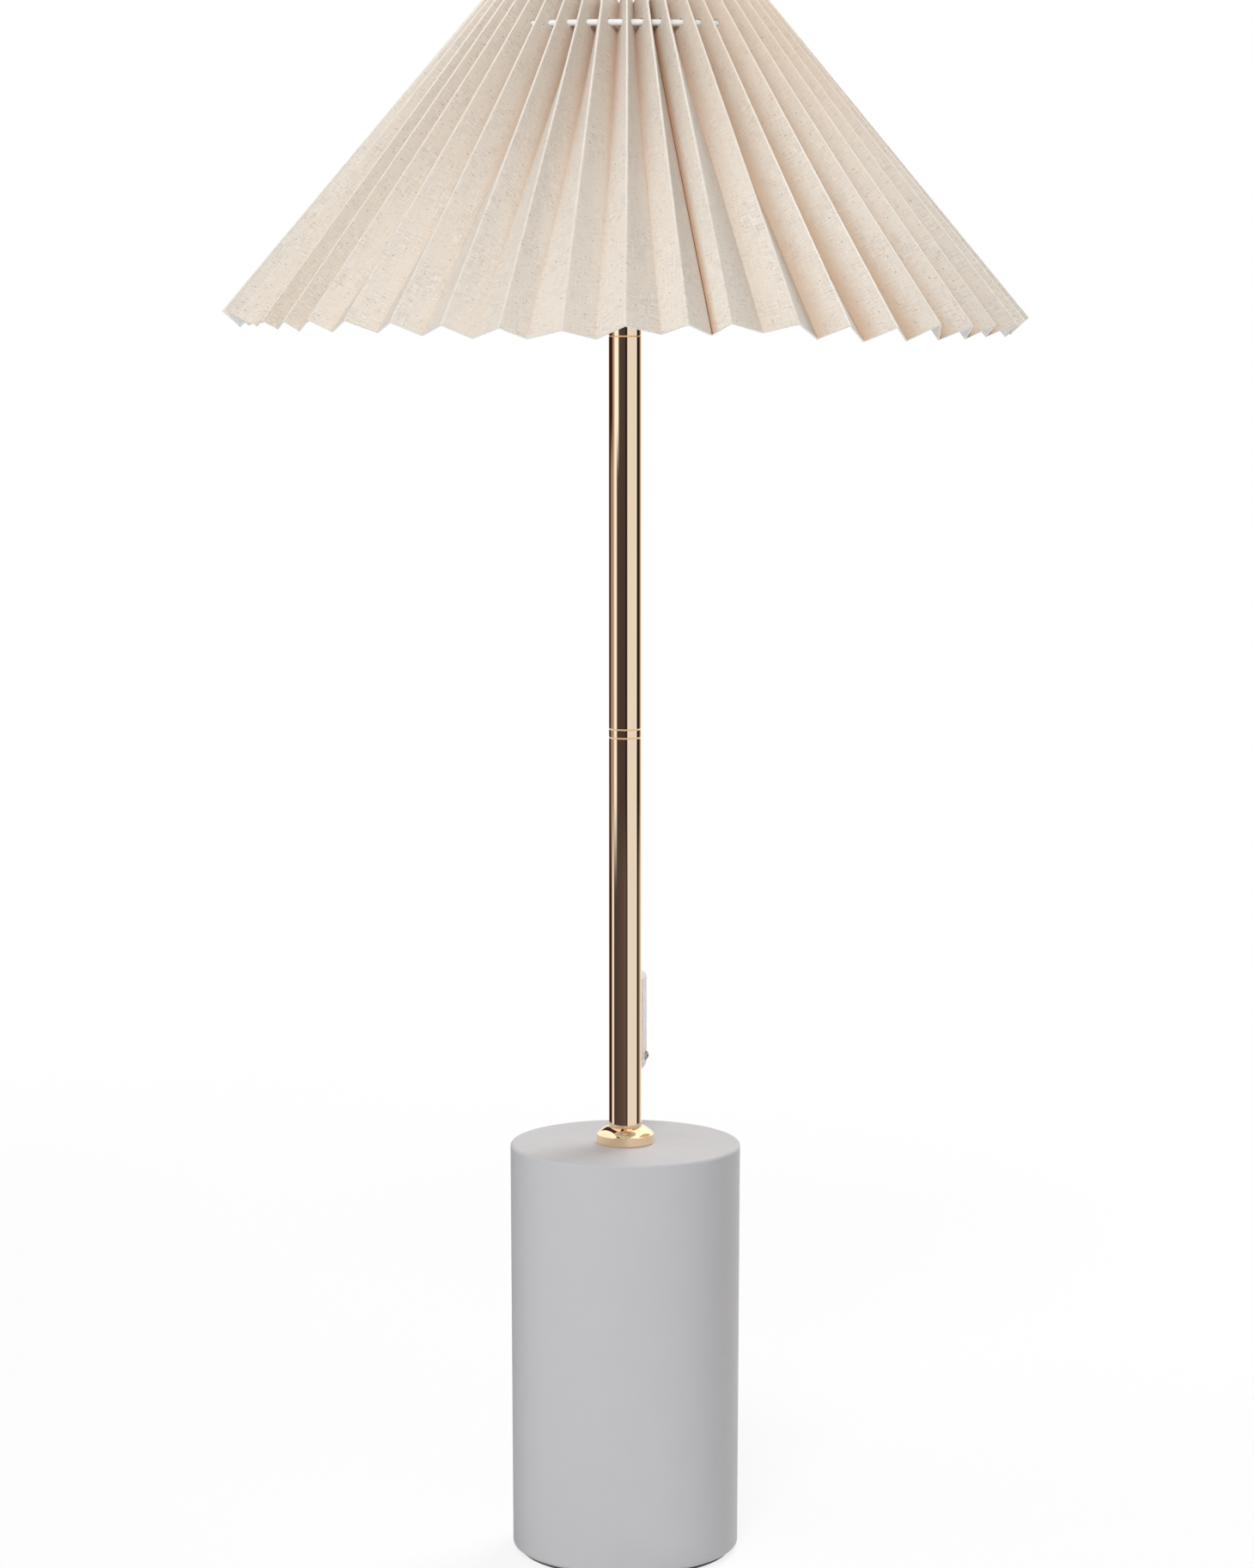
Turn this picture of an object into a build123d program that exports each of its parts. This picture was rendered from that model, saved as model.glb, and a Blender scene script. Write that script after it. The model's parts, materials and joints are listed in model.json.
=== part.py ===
from build123d import *
from math import atan2, cos, hypot, pi, radians, sin, tan
import os

# Table lamp: a cement cylinder, a brass-plated tube in two lengths, an E27 lampholder and a
# pleated fabric shade on a wire frame, with a rocker switch on the back of the tube.
# Millimetres, +Z up, origin on the table under the middle of the base, back of the lamp at +Y.

os.makedirs("parts", exist_ok=True)

# Base
base_d = 113.0
base_draft = 0.8
base_top = 204.2
base_edge_r = 1.4
base_foot_r = 2.2
pad_inset = 3.7
pad_t = 2.0
recess_d = 80.0
recess_depth = 22.0
pocket_d = 36.0
pocket_depth = 40.0

# Threaded tie tube that clamps the base to the pole, and its fittings
thread_d = 10.0
thread_bore_d = 7.0
thread_gap = 0.05
free_gap = 0.5
tie_below_nut = 4.0
tie_in_insert = 11.0
nut_across = 17.0
nut_t = 8.0
washer_d = 30.0
washer_t = 2.0

# Collar and pole
collar_d = 28.0
collar_rim_h = 4.8
collar_dome_h = 3.5
collar_dome_bulge = 0.5
collar_top_d = 17.0
collar_edge = 0.3
pole_d = 16.0
pole_wall = 1.2
pole_chamfer = 0.35
lower_pole_l = 192.5
upper_pole_l = 190.0
joint_band_h = 4.2
spigot_l = 12.0
spigot_gap = 0.02
spigot_bore_d = 8.0
insert_l = 15.0
neck_h = 8.2

# Lead inside the lamp
lead_d = 5.4
lead_bend_r = 12.0
core_d = 1.4
core_offset = 1.4
core_bend_r = 1.0

# Terminal block in the recess of the base, and the cord inlet behind it
block_w = 18.0
block_l = 18.0
block_h = 14.0
block_start_y = 20.0
block_hole_d = 2.6
block_pole_pitch = 9.0
block_screw_pitch = 9.0
clamp_screw_d = 3.0
clamp_screw_l = 4.5
block_screw_d = 3.0
block_screw_head_d = 5.5
block_screw_head_h = 2.0
block_screw_grip = 8.0
screw_gap = 0.03
screw_hole_gap = 0.2
slot_w = 0.6
slot_depth = 0.8
grommet_d = 9.8
grommet_bore_d = 6.2
grommet_body_l = 10.0
grommet_flange_d = 13.4
grommet_flange_t = 2.5
grommet_gap = 0.1
grommet_inset = 2.5
inlet_z = 15.0

# Switch housing on the back of the lower pole
switch_w = 15.5
switch_low = 235.4
switch_high = 287.2
switch_corner_r = 3.4
saddle_front_y = 5.0
split_y = 11.0
switch_back_y = 20.0
switch_wall = 1.6
switch_edge_r = 1.5
saddle_screw_d = 3.0
saddle_screw_head_d = 5.5
saddle_screw_head_h = 2.0
saddle_screw_tip_y = 6.0
saddle_screw_edge = 6.8
wire_hole_d = 5.4
wire_hole_drop = 13.0
cover_screw_d = 2.5
cover_screw_rise = 10.0
cover_screw_y = 14.5
cover_screw_head_d = 5.3
cover_screw_head_h = 1.7
post_in = 3.2
post_out = 6.0
post_back_y = 17.0
post_h = 5.4

# Rocker and its see-saw contact
rocker_w = 10.8
rocker_half_l = 10.8
rocker_centre = 3.9
rocker_tilt = 7.0
rocker_floor = 1.6
rocker_floor_half = 3.0
rocker_lip = 1.8
rocker_stem = 3.0
rocker_stem_half = 0.9
pivot_y = 16.0
trunnion_d = 2.4
trunnion_reach = 6.9
trunnion_gap = 0.05
window_gap_x = 0.4
window_gap_z = 0.8
bar_t = 0.6
bar_w = 3.2
bar_half_l = 7.5
bar_y = 12.6
bar_tilt = 6.0
strip_t = 0.4
strip_in = 2.2
strip_out = 4.6
strip_edge_gap = 0.24
tail_h = 1.7
knife_half = 0.25
contact_gap = 0.06
contact_arm = 6.5
contact_half = 1.0
wire_d = 1.6
wire_offset = 1.6
wire_bend_r = 1.7
wire_turn_y = 12.3

# Lampholder
cap_bottom_d = 22.0
cap_chamfer = 1.0
cap_boss_h = 8.0
cap_waist_d = 25.0
cap_waist_h = 7.0
cap_shoulder_h = 13.5
cap_inner_lift = 0.6
cap_h = 22.0
cap_wall = 1.8
holder_d = 39.0
sleeve_bore_d = 32.4
sleeve_spigot_l = 6.0
sleeve_flange_d = 46.0
sleeve_flange_t = 2.2
sleeve_h = 36.0
sleeve_lip_d = 29.2
sleeve_lip_t = 2.0
core_block_d = 32.0
core_block_h = 14.8
core_block_hole_d = 6.0
core_block_hole_h = 3.0
shell_bore_r = 13.35
shell_neck_r = 12.2
shell_t = 0.5
shell_step_h = 5.0
shell_h = 22.0
shell_floor_hole_d = 12.0
tongue_w = 3.6
tongue_foot = 5.0
tongue_heel = 1.2
tongue_peak = 2.5
tongue_tip_drop = 1.0
tongue_rise = 3.8
tongue_t = 0.5
holder_screw_d = 2.5
holder_screw_head_d = 4.0
holder_screw_head_h = 2.2
holder_screw_offset = 7.5
holder_screw_l = 7.0
lock_screw_d = 3.0
lock_screw_z = 4.0

# Retaining ring and fitter ring of the shade
ring_gap = 0.05
ring_flange_d = 52.0
ring_flange_t = 1.6
ring_hub_d = 46.0
ring_hub_h = 6.0
ring_flutes = 24
ring_flute_d = 2.4
ring_lift = 0.2
fitter_bore_d = 40.6
fitter_d = 54.0
fitter_t = 1.5

# Shade frame
wire_frame_d = 3.0
arm_wire_d = 2.6
arm_count = 3
first_arm_turn = 90.0
strut_count = 4
top_ring_drop = 19.6

# Pleated shade: the outer folds are ridges and the inner folds valleys, each a straight line
# between two distances from the axis; the cloth hangs past its seat on the flange by shade_drop
# and one ridge stands ridge_turn degrees from the front, towards +X
pleats = 46
ridge_turn = 9.0
fabric_t = 0.8
shade_drop = 22.4
ridge_low_r = 193.0
ridge_high_r = 63.5
ridge_rise = 155.0
valley_low_r = 184.8
valley_high_r = 50.5
valley_rise = 150.9
valley_below_ridge = 6.8
ring_hole_gap = 0.8
loft_margin = 12.0
trim_reach = 36.0
mid_section_rise = 96.0

# Worked out heights, from the table up
recess_top = pad_t + recess_depth
pocket_top = pad_t + pocket_depth
nut_top = pocket_top - washer_t
nut_bottom = nut_top - nut_t
tie_bottom = nut_bottom - tie_below_nut
rim_top = base_top + collar_rim_h
pole_foot = rim_top + collar_dome_h
tie_top = pole_foot + tie_in_insert
joint_low = pole_foot + lower_pole_l
joint_high = joint_low + joint_band_h
neck_low = joint_high + upper_pole_l
neck_top = neck_low + neck_h
cap_top = neck_top + cap_h
flange_top = cap_top + sleeve_flange_t
fitter_top = flange_top + fitter_t
sleeve_top = cap_top + sleeve_h
boss_top = neck_top + cap_boss_h
lead_top = boss_top
frame_z = flange_top + fitter_t / 2

# Worked out radii
base_foot_radius = base_d / 2 - base_draft
pad_radius = base_foot_radius - pad_inset
grommet_seat_y = base_d / 2 - grommet_inset
thread_r = thread_d / 2
tapped_r = thread_r + thread_gap
pole_r = pole_d / 2
pole_bore_r = pole_r - pole_wall
spigot_r = pole_bore_r - spigot_gap
frame_wire_r = wire_frame_d / 2

# The core of the lampholder stands on the cone inside the cap, so its height follows the cone
cap_inner_r = holder_d / 2 - cap_wall
cap_inner_waist_r = cap_waist_d / 2 - cap_wall
cap_inner_shoulder = neck_top + cap_shoulder_h + cap_inner_lift
cone_slope = (cap_inner_shoulder - boss_top) / (cap_inner_r - cap_inner_waist_r)
core_low = boss_top + (core_block_d / 2 - cap_inner_waist_r) * cone_slope + contact_gap
core_top = core_low + core_block_h
shell_top = core_top + shell_h

# Lower and upper ends of the folds of the shade, as distance from the axis and height
ridge_low = (ridge_low_r, flange_top - shade_drop)
ridge_high = (ridge_high_r, ridge_low[1] + ridge_rise)
valley_low = (valley_low_r, ridge_low[1] - valley_below_ridge)
valley_high = (valley_high_r, valley_low[1] + valley_rise)
top_ring_z = ridge_high[1] - top_ring_drop
fold_step = pi / pleats
first_ridge = radians(ridge_turn - 90)


def turned(points):
    """Face of a turned piece, from (radius, height) corners, for a revolve about Z."""
    with BuildSketch(Plane.XZ) as face:
        with BuildLine():
            Polyline(*points, close=True)
        make_face()
    return face.sketch


def fold_radius(low, high, z):
    """Distance of a fold line from the axis at height z."""
    return low[0] + (high[0] - low[0]) * (z - low[1]) / (high[1] - low[1])


def fold_reach(ridge, valley, offset):
    """Radial move of the folds when the cloth between them moves out by offset."""
    wall_angle = atan2((ridge + valley) / 2 * sin(fold_step), ridge - valley)
    return offset / sin(wall_angle)


# Felt pad under the base
with BuildPart() as base_pad:
    with BuildSketch():
        Circle(pad_radius)
    extrude(amount=pad_t)
base_pad.part.label = "base_pad"
export_step(base_pad.part, "parts/base_pad.step")

# Cement base with a stepped recess underneath, the tie bore and the cord channel to the back
rear = Plane(origin=(0, 0, 0), x_dir=(-1, 0, 0), z_dir=(0, 1, 0))
block_mid_y = block_start_y + block_l / 2
channel_d = grommet_d + 2 * grommet_gap
with BuildPart() as base_body:
    with BuildSketch(Plane.XY.offset(pad_t)):
        Circle(base_foot_radius)
    with BuildSketch(Plane.XY.offset(base_top)):
        Circle(base_d / 2)
    loft()
    fillet(base_body.edges().group_by(Axis.Z)[-1], base_edge_r)
    fillet(base_body.edges().group_by(Axis.Z)[0], base_foot_r)
    with BuildSketch(Plane.XY.offset(pad_t)):
        Circle(recess_d / 2)
    extrude(amount=recess_depth, mode=Mode.SUBTRACT)
    with BuildSketch(Plane.XY.offset(pad_t)):
        Circle(pocket_d / 2)
    extrude(amount=pocket_depth, mode=Mode.SUBTRACT)
    with BuildSketch(Plane.XY.offset(pad_t)):
        Circle(thread_r + free_gap)
    extrude(amount=base_top, mode=Mode.SUBTRACT)
    with BuildSketch(rear):
        with Locations((0, inlet_z)):
            Circle(channel_d / 2)
    extrude(amount=base_d, mode=Mode.SUBTRACT)
    with BuildSketch(rear.offset(grommet_seat_y)):
        with Locations((0, inlet_z)):
            Circle(grommet_flange_d / 2 + grommet_gap)
    extrude(amount=base_d, mode=Mode.SUBTRACT)
    with BuildSketch(Plane.XY.offset(recess_top)):
        with Locations((0, block_mid_y)):
            Circle(block_screw_d / 2 + screw_gap)
    extrude(amount=block_screw_grip + free_gap, mode=Mode.SUBTRACT)
base_body.part.label = "base_body"
export_step(base_body.part, "parts/base_body.step")

# Washer and hexagon nut in the pocket of the base
with BuildPart() as base_washer:
    with BuildSketch(Plane.XY.offset(nut_top)):
        Circle(washer_d / 2)
        Circle(thread_r + free_gap, mode=Mode.SUBTRACT)
    extrude(amount=washer_t)
base_washer.part.label = "base_washer"
export_step(base_washer.part, "parts/base_washer.step")

with BuildPart() as base_nut:
    with BuildSketch(Plane.XY.offset(nut_bottom)):
        RegularPolygon(nut_across / 2, 6, major_radius=False)
        Circle(tapped_r, mode=Mode.SUBTRACT)
    extrude(amount=nut_t)
base_nut.part.label = "base_nut"
export_step(base_nut.part, "parts/base_nut.step")

# Tie tube from the nut up into the threaded insert of the lower pole
with BuildPart() as tie_tube:
    with BuildSketch(Plane.XY.offset(tie_bottom)):
        Circle(thread_r)
        Circle(thread_bore_d / 2, mode=Mode.SUBTRACT)
    extrude(amount=tie_top - tie_bottom)
tie_tube.part.label = "tie_tube"
export_step(tie_tube.part, "parts/tie_tube.step")

# Brass collar: a straight rim under a low dome that carries the pole
with BuildPart() as base_collar:
    with BuildSketch(Plane.XZ):
        with BuildLine():
            Polyline(
                (collar_top_d / 2, pole_foot),
                (thread_r + free_gap, pole_foot),
                (thread_r + free_gap, base_top),
                (collar_d / 2 - collar_edge, base_top),
                (collar_d / 2, base_top + collar_edge),
                (collar_d / 2, rim_top - collar_edge),
                (collar_d / 2 - collar_edge, rim_top),
            )
            SagittaArc(
                (collar_d / 2 - collar_edge, rim_top),
                (collar_top_d / 2, pole_foot),
                -collar_dome_bulge,
            )
        make_face()
    revolve(axis=Axis.Z)
base_collar.part.label = "base_collar"
export_step(base_collar.part, "parts/base_collar.step")

# Lower pole, with the wire hole and the two tapped holes of the switch saddle at the back
switch_mid = (switch_low + switch_high) / 2
wire_hole_z = switch_mid - wire_hole_drop
saddle_screw_heights = [switch_low + saddle_screw_edge, switch_high - saddle_screw_edge]
with BuildPart() as lower_pole:
    with BuildSketch(Plane.XY.offset(pole_foot)):
        Circle(pole_r)
        Circle(pole_bore_r, mode=Mode.SUBTRACT)
    extrude(amount=lower_pole_l)
    chamfer(lower_pole.edges().filter_by(GeomType.CIRCLE).sort_by(SortBy.RADIUS)[-2:], pole_chamfer)
    with BuildSketch(rear):
        with Locations((0, wire_hole_z)):
            Circle(wire_hole_d / 2)
        with Locations(*[(0, z) for z in saddle_screw_heights]):
            Circle(saddle_screw_d / 2 + screw_gap)
    extrude(amount=pole_d, mode=Mode.SUBTRACT)
lower_pole.part.label = "lower_pole"
export_step(lower_pole.part, "parts/lower_pole.step")

# Threaded insert pressed into the foot of the lower pole
with BuildPart() as pole_insert:
    with BuildSketch(Plane.XY.offset(pole_foot)):
        Circle(spigot_r)
        Circle(tapped_r, mode=Mode.SUBTRACT)
    extrude(amount=insert_l)
pole_insert.part.label = "pole_insert"
export_step(pole_insert.part, "parts/pole_insert.step")

# Joint band between the two lengths of pole, with a spigot into each
with BuildPart() as pole_coupler:
    add(turned([
        (spigot_bore_d / 2, joint_low - spigot_l),
        (spigot_r, joint_low - spigot_l),
        (spigot_r, joint_low),
        (pole_r - pole_chamfer, joint_low),
        (pole_r, joint_low + pole_chamfer),
        (pole_r, joint_high - pole_chamfer),
        (pole_r - pole_chamfer, joint_high),
        (spigot_r, joint_high),
        (spigot_r, joint_high + spigot_l),
        (spigot_bore_d / 2, joint_high + spigot_l),
    ]))
    revolve(axis=Axis.Z)
pole_coupler.part.label = "pole_coupler"
export_step(pole_coupler.part, "parts/pole_coupler.step")

with BuildPart() as upper_pole:
    with BuildSketch(Plane.XY.offset(joint_high)):
        Circle(pole_r)
        Circle(pole_bore_r, mode=Mode.SUBTRACT)
    extrude(amount=upper_pole_l)
    chamfer(upper_pole.edges().filter_by(GeomType.CIRCLE).sort_by(SortBy.RADIUS)[-2:], pole_chamfer)
upper_pole.part.label = "upper_pole"
export_step(upper_pole.part, "parts/upper_pole.step")

# Neck at the head of the pole, tapped for the nipple of the lampholder
with BuildPart() as pole_neck:
    add(turned([
        (tapped_r, neck_low - spigot_l),
        (spigot_r, neck_low - spigot_l),
        (spigot_r, neck_low),
        (pole_r - pole_chamfer, neck_low),
        (pole_r, neck_low + pole_chamfer),
        (pole_r, neck_top - pole_chamfer),
        (pole_r - pole_chamfer, neck_top),
        (tapped_r, neck_top),
    ]))
    revolve(axis=Axis.Z)
pole_neck.part.label = "pole_neck"
export_step(pole_neck.part, "parts/pole_neck.step")

with BuildPart() as holder_nipple:
    with BuildSketch(Plane.XY.offset(neck_low - spigot_l)):
        Circle(thread_r)
        Circle(thread_bore_d / 2, mode=Mode.SUBTRACT)
    extrude(amount=boss_top - neck_low + spigot_l)
holder_nipple.part.label = "holder_nipple"
export_step(holder_nipple.part, "parts/holder_nipple.step")

# Lead from the terminal block round one bend and up inside the pole to the lampholder
lead_z = tie_bottom - lead_bend_r
with BuildPart() as inner_lead:
    with BuildLine():
        FilletPolyline(
            (0, block_start_y, lead_z),
            (0, 0, lead_z),
            (0, 0, lead_top),
            radius=lead_bend_r,
        )
    with BuildSketch(Plane(origin=(0, block_start_y, lead_z), z_dir=(0, -1, 0))):
        Circle(lead_d / 2)
    sweep()
inner_lead.part.label = "inner_lead"
export_step(inner_lead.part, "parts/inner_lead.step")

# Terminal block screwed to the ceiling of the recess, with its four clamp screws
with BuildPart() as terminal_block:
    with BuildSketch(Plane.XY.offset(recess_top - block_h)):
        with Locations((0, block_mid_y)):
            Rectangle(block_w, block_l)
    extrude(amount=block_h)
    with BuildSketch(Plane.XY.offset(recess_top - block_h)):
        with Locations((0, block_mid_y)):
            Circle(block_screw_d / 2 + screw_hole_gap)
    extrude(amount=block_h, mode=Mode.SUBTRACT)
    with BuildSketch(Plane.XY.offset(recess_top - block_h)):
        with Locations((0, block_mid_y)):
            with GridLocations(block_pole_pitch, block_screw_pitch, 2, 2):
                Circle(clamp_screw_d / 2 + screw_gap)
    extrude(amount=clamp_screw_l, mode=Mode.SUBTRACT)
    with BuildSketch(rear.offset(block_start_y)):
        with Locations((0, lead_z)):
            with GridLocations(block_pole_pitch, 1, 2, 1):
                Circle(block_hole_d / 2)
    extrude(amount=block_l, mode=Mode.SUBTRACT)
terminal_block.part.label = "terminal_block"
export_step(terminal_block.part, "parts/terminal_block.step")

with BuildPart() as clamp_screws:
    with BuildSketch(Plane.XY.offset(recess_top - block_h)):
        with Locations((0, block_mid_y)):
            with GridLocations(block_pole_pitch, block_screw_pitch, 2, 2):
                Circle(clamp_screw_d / 2)
    extrude(amount=clamp_screw_l - free_gap)
    with BuildSketch(Plane.XY.offset(recess_top - block_h)):
        with Locations((0, block_mid_y)):
            with GridLocations(block_pole_pitch, block_screw_pitch, 2, 2):
                Rectangle(clamp_screw_d, slot_w)
    extrude(amount=slot_depth, mode=Mode.SUBTRACT)
clamp_screws.part.label = "clamp_screws"
export_step(clamp_screws.part, "parts/clamp_screws.step")

with BuildPart() as block_screw:
    with BuildSketch(Plane.XY.offset(recess_top - block_h - block_screw_head_h)):
        with Locations((0, block_mid_y)):
            Circle(block_screw_head_d / 2)
    extrude(amount=block_screw_head_h)
    with BuildSketch(Plane.XY.offset(recess_top - block_h)):
        with Locations((0, block_mid_y)):
            Circle(block_screw_d / 2)
    extrude(amount=block_h + block_screw_grip)
    with BuildSketch(Plane.XY.offset(recess_top - block_h - block_screw_head_h)):
        with Locations((0, block_mid_y)):
            Rectangle(block_screw_head_d, slot_w)
    extrude(amount=slot_depth, mode=Mode.SUBTRACT)
block_screw.part.label = "block_screw"
export_step(block_screw.part, "parts/block_screw.step")

# Rubber grommet of the cord inlet at the back of the base
with BuildPart() as cord_grommet:
    with BuildSketch(rear.offset(grommet_seat_y - grommet_body_l)):
        with Locations((0, inlet_z)):
            Circle(grommet_d / 2)
    extrude(amount=grommet_body_l)
    with BuildSketch(rear.offset(grommet_seat_y)):
        with Locations((0, inlet_z)):
            Circle(grommet_flange_d / 2)
    extrude(amount=grommet_flange_t)
    with BuildSketch(rear.offset(grommet_seat_y - grommet_body_l)):
        with Locations((0, inlet_z)):
            Circle(grommet_bore_d / 2)
    extrude(amount=grommet_body_l + grommet_flange_t, mode=Mode.SUBTRACT)
cord_grommet.part.label = "cord_grommet"
export_step(cord_grommet.part, "parts/cord_grommet.step")


def switch_outline(inset):
    """Outline of the switch housing seen from behind, drawn in by inset."""
    half = switch_w / 2 - inset
    low = switch_low + inset
    high = switch_high - inset
    with BuildSketch() as outline:
        with BuildLine():
            ThreePointArc((-half, low + half), (0, low), (half, low + half))
            Polyline((half, low + half), (half, high), (-half, high), (-half, low + half))
        make_face()
        fillet(outline.vertices().group_by(Axis.Y)[-1], switch_corner_r - inset)
    return outline.sketch


# Saddle of the switch, hollowed to the pole, with a post for the cover screw on its +X side
post_mid = (post_in + post_out) / 2
cover_screw_z = switch_low + cover_screw_rise
with BuildPart() as switch_saddle:
    with BuildSketch(rear.offset(saddle_front_y)):
        add(switch_outline(0))
    extrude(amount=split_y - saddle_front_y)
    with BuildSketch(rear.offset(split_y)):
        with Locations((-post_mid, cover_screw_z)):
            Rectangle(post_out - post_in, post_h)
    extrude(amount=post_back_y - split_y)
    with BuildSketch(Plane.XY.offset(switch_low)):
        Circle(pole_r + contact_gap)
    extrude(amount=switch_high - switch_low, mode=Mode.SUBTRACT)
    with BuildSketch(rear):
        with Locations((0, wire_hole_z)):
            Circle(wire_hole_d / 2)
        with Locations(*[(0, z) for z in saddle_screw_heights]):
            Circle(saddle_screw_d / 2 + screw_hole_gap)
    extrude(amount=switch_back_y, mode=Mode.SUBTRACT)
    with BuildSketch(Plane.YZ.offset(post_in)):
        with Locations((cover_screw_y, cover_screw_z)):
            Circle(cover_screw_d / 2 + screw_gap)
    extrude(amount=switch_w, mode=Mode.SUBTRACT)
switch_saddle.part.label = "switch_saddle"
export_step(switch_saddle.part, "parts/switch_saddle.step")

# Rear cover of the switch, with the rocker window and the pivot holes in its side walls
with BuildPart() as switch_cover:
    with BuildSketch(rear.offset(split_y)):
        add(switch_outline(0))
    extrude(amount=switch_back_y - split_y)
    fillet(switch_cover.faces().sort_by(Axis.Y)[-1].edges(), switch_edge_r)
    with BuildSketch(rear.offset(split_y)):
        add(switch_outline(switch_wall))
    extrude(amount=switch_back_y - switch_wall - split_y, mode=Mode.SUBTRACT)
    with BuildSketch(rear.offset(split_y)):
        with Locations((0, switch_mid)):
            Rectangle(rocker_w + 2 * window_gap_x, 2 * (rocker_half_l + window_gap_z))
    extrude(amount=switch_back_y, mode=Mode.SUBTRACT)
    with BuildSketch(Plane.YZ.offset(-trunnion_reach - contact_gap)):
        with Locations((pivot_y, switch_mid)):
            Circle(trunnion_d / 2 + trunnion_gap)
    extrude(amount=2 * (trunnion_reach + contact_gap), mode=Mode.SUBTRACT)
    with BuildSketch(Plane.YZ.offset(post_in)):
        with Locations((cover_screw_y, cover_screw_z)):
            Circle(cover_screw_d / 2 + screw_hole_gap)
    extrude(amount=switch_w, mode=Mode.SUBTRACT)
switch_cover.part.label = "switch_cover"
export_step(switch_cover.part, "parts/switch_cover.step")

# Two screws that hold the saddle to the pole, and the domed screw in the side of the cover
with BuildPart() as saddle_screws:
    with BuildSketch(rear.offset(saddle_screw_tip_y)):
        with Locations(*[(0, z) for z in saddle_screw_heights]):
            Circle(saddle_screw_d / 2)
    extrude(amount=split_y - saddle_screw_tip_y)
    with BuildSketch(rear.offset(split_y)):
        with Locations(*[(0, z) for z in saddle_screw_heights]):
            Circle(saddle_screw_head_d / 2)
    extrude(amount=saddle_screw_head_h)
    with BuildSketch(rear.offset(split_y + saddle_screw_head_h - slot_depth)):
        with Locations(*[(0, z) for z in saddle_screw_heights]):
            Rectangle(saddle_screw_head_d, slot_w)
    extrude(amount=slot_depth, mode=Mode.SUBTRACT)
saddle_screws.part.label = "saddle_screws"
export_step(saddle_screws.part, "parts/saddle_screws.step")

dome_r = (cover_screw_head_d**2 / 4 + cover_screw_head_h**2) / (2 * cover_screw_head_h)
screw_axis = Axis((0, cover_screw_y, cover_screw_z), (1, 0, 0))
with BuildPart() as cover_screw:
    with BuildSketch(Plane(origin=(0, cover_screw_y, cover_screw_z), z_dir=(0, -1, 0), x_dir=(1, 0, 0))):
        with BuildLine():
            Polyline(
                (switch_w / 2, cover_screw_head_d / 2),
                (switch_w / 2, cover_screw_d / 2),
                (post_in + free_gap, cover_screw_d / 2),
                (post_in + free_gap, 0),
                (switch_w / 2 + cover_screw_head_h, 0),
            )
            RadiusArc(
                (switch_w / 2 + cover_screw_head_h, 0),
                (switch_w / 2, cover_screw_head_d / 2),
                -dome_r,
            )
        make_face()
    revolve(axis=screw_axis)
cover_screw.part.label = "cover_screw"
export_step(cover_screw.part, "parts/cover_screw.step")

# Rocker, drawn square to its own pivot and tilted to the off position, with its top end in
tilt = radians(rocker_tilt)
rocker_crown = rocker_centre + rocker_half_l * tan(tilt)
rocker_plane = Plane(
    origin=(-rocker_w / 2, pivot_y, switch_mid),
    x_dir=(0, cos(tilt), sin(tilt)),
    z_dir=(1, 0, 0),
)
with BuildPart() as switch_rocker:
    with BuildSketch(rocker_plane):
        with BuildLine():
            Polyline(
                (rocker_centre, 0),
                (rocker_crown, rocker_half_l),
                (rocker_lip, rocker_half_l),
                (-rocker_floor, rocker_floor_half),
                (-rocker_floor, rocker_stem_half),
                (-rocker_stem, 0),
                (-rocker_floor, -rocker_stem_half),
                (-rocker_floor, -rocker_floor_half),
                (rocker_lip, -rocker_half_l),
                (rocker_crown, -rocker_half_l),
                close=True,
            )
        make_face()
    extrude(amount=rocker_w)
    with BuildSketch(Plane.YZ.offset(-trunnion_reach)):
        with Locations((pivot_y, switch_mid)):
            Circle(trunnion_d / 2)
    extrude(amount=2 * trunnion_reach)
switch_rocker.part.label = "switch_rocker"
export_step(switch_rocker.part, "parts/switch_rocker.step")

# See-saw contact bar on its knife edge, tilted the other way from the rocker
lean = radians(bar_tilt)
bar_plane = Plane(
    origin=(-bar_w / 2, bar_y, switch_mid),
    x_dir=(0, cos(lean), -sin(lean)),
    z_dir=(1, 0, 0),
)
with BuildPart() as contact_bar:
    with BuildSketch(bar_plane):
        Rectangle(bar_t, 2 * bar_half_l)
    extrude(amount=bar_w)
contact_bar.part.label = "contact_bar"
export_step(contact_bar.part, "parts/contact_bar.step")

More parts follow.
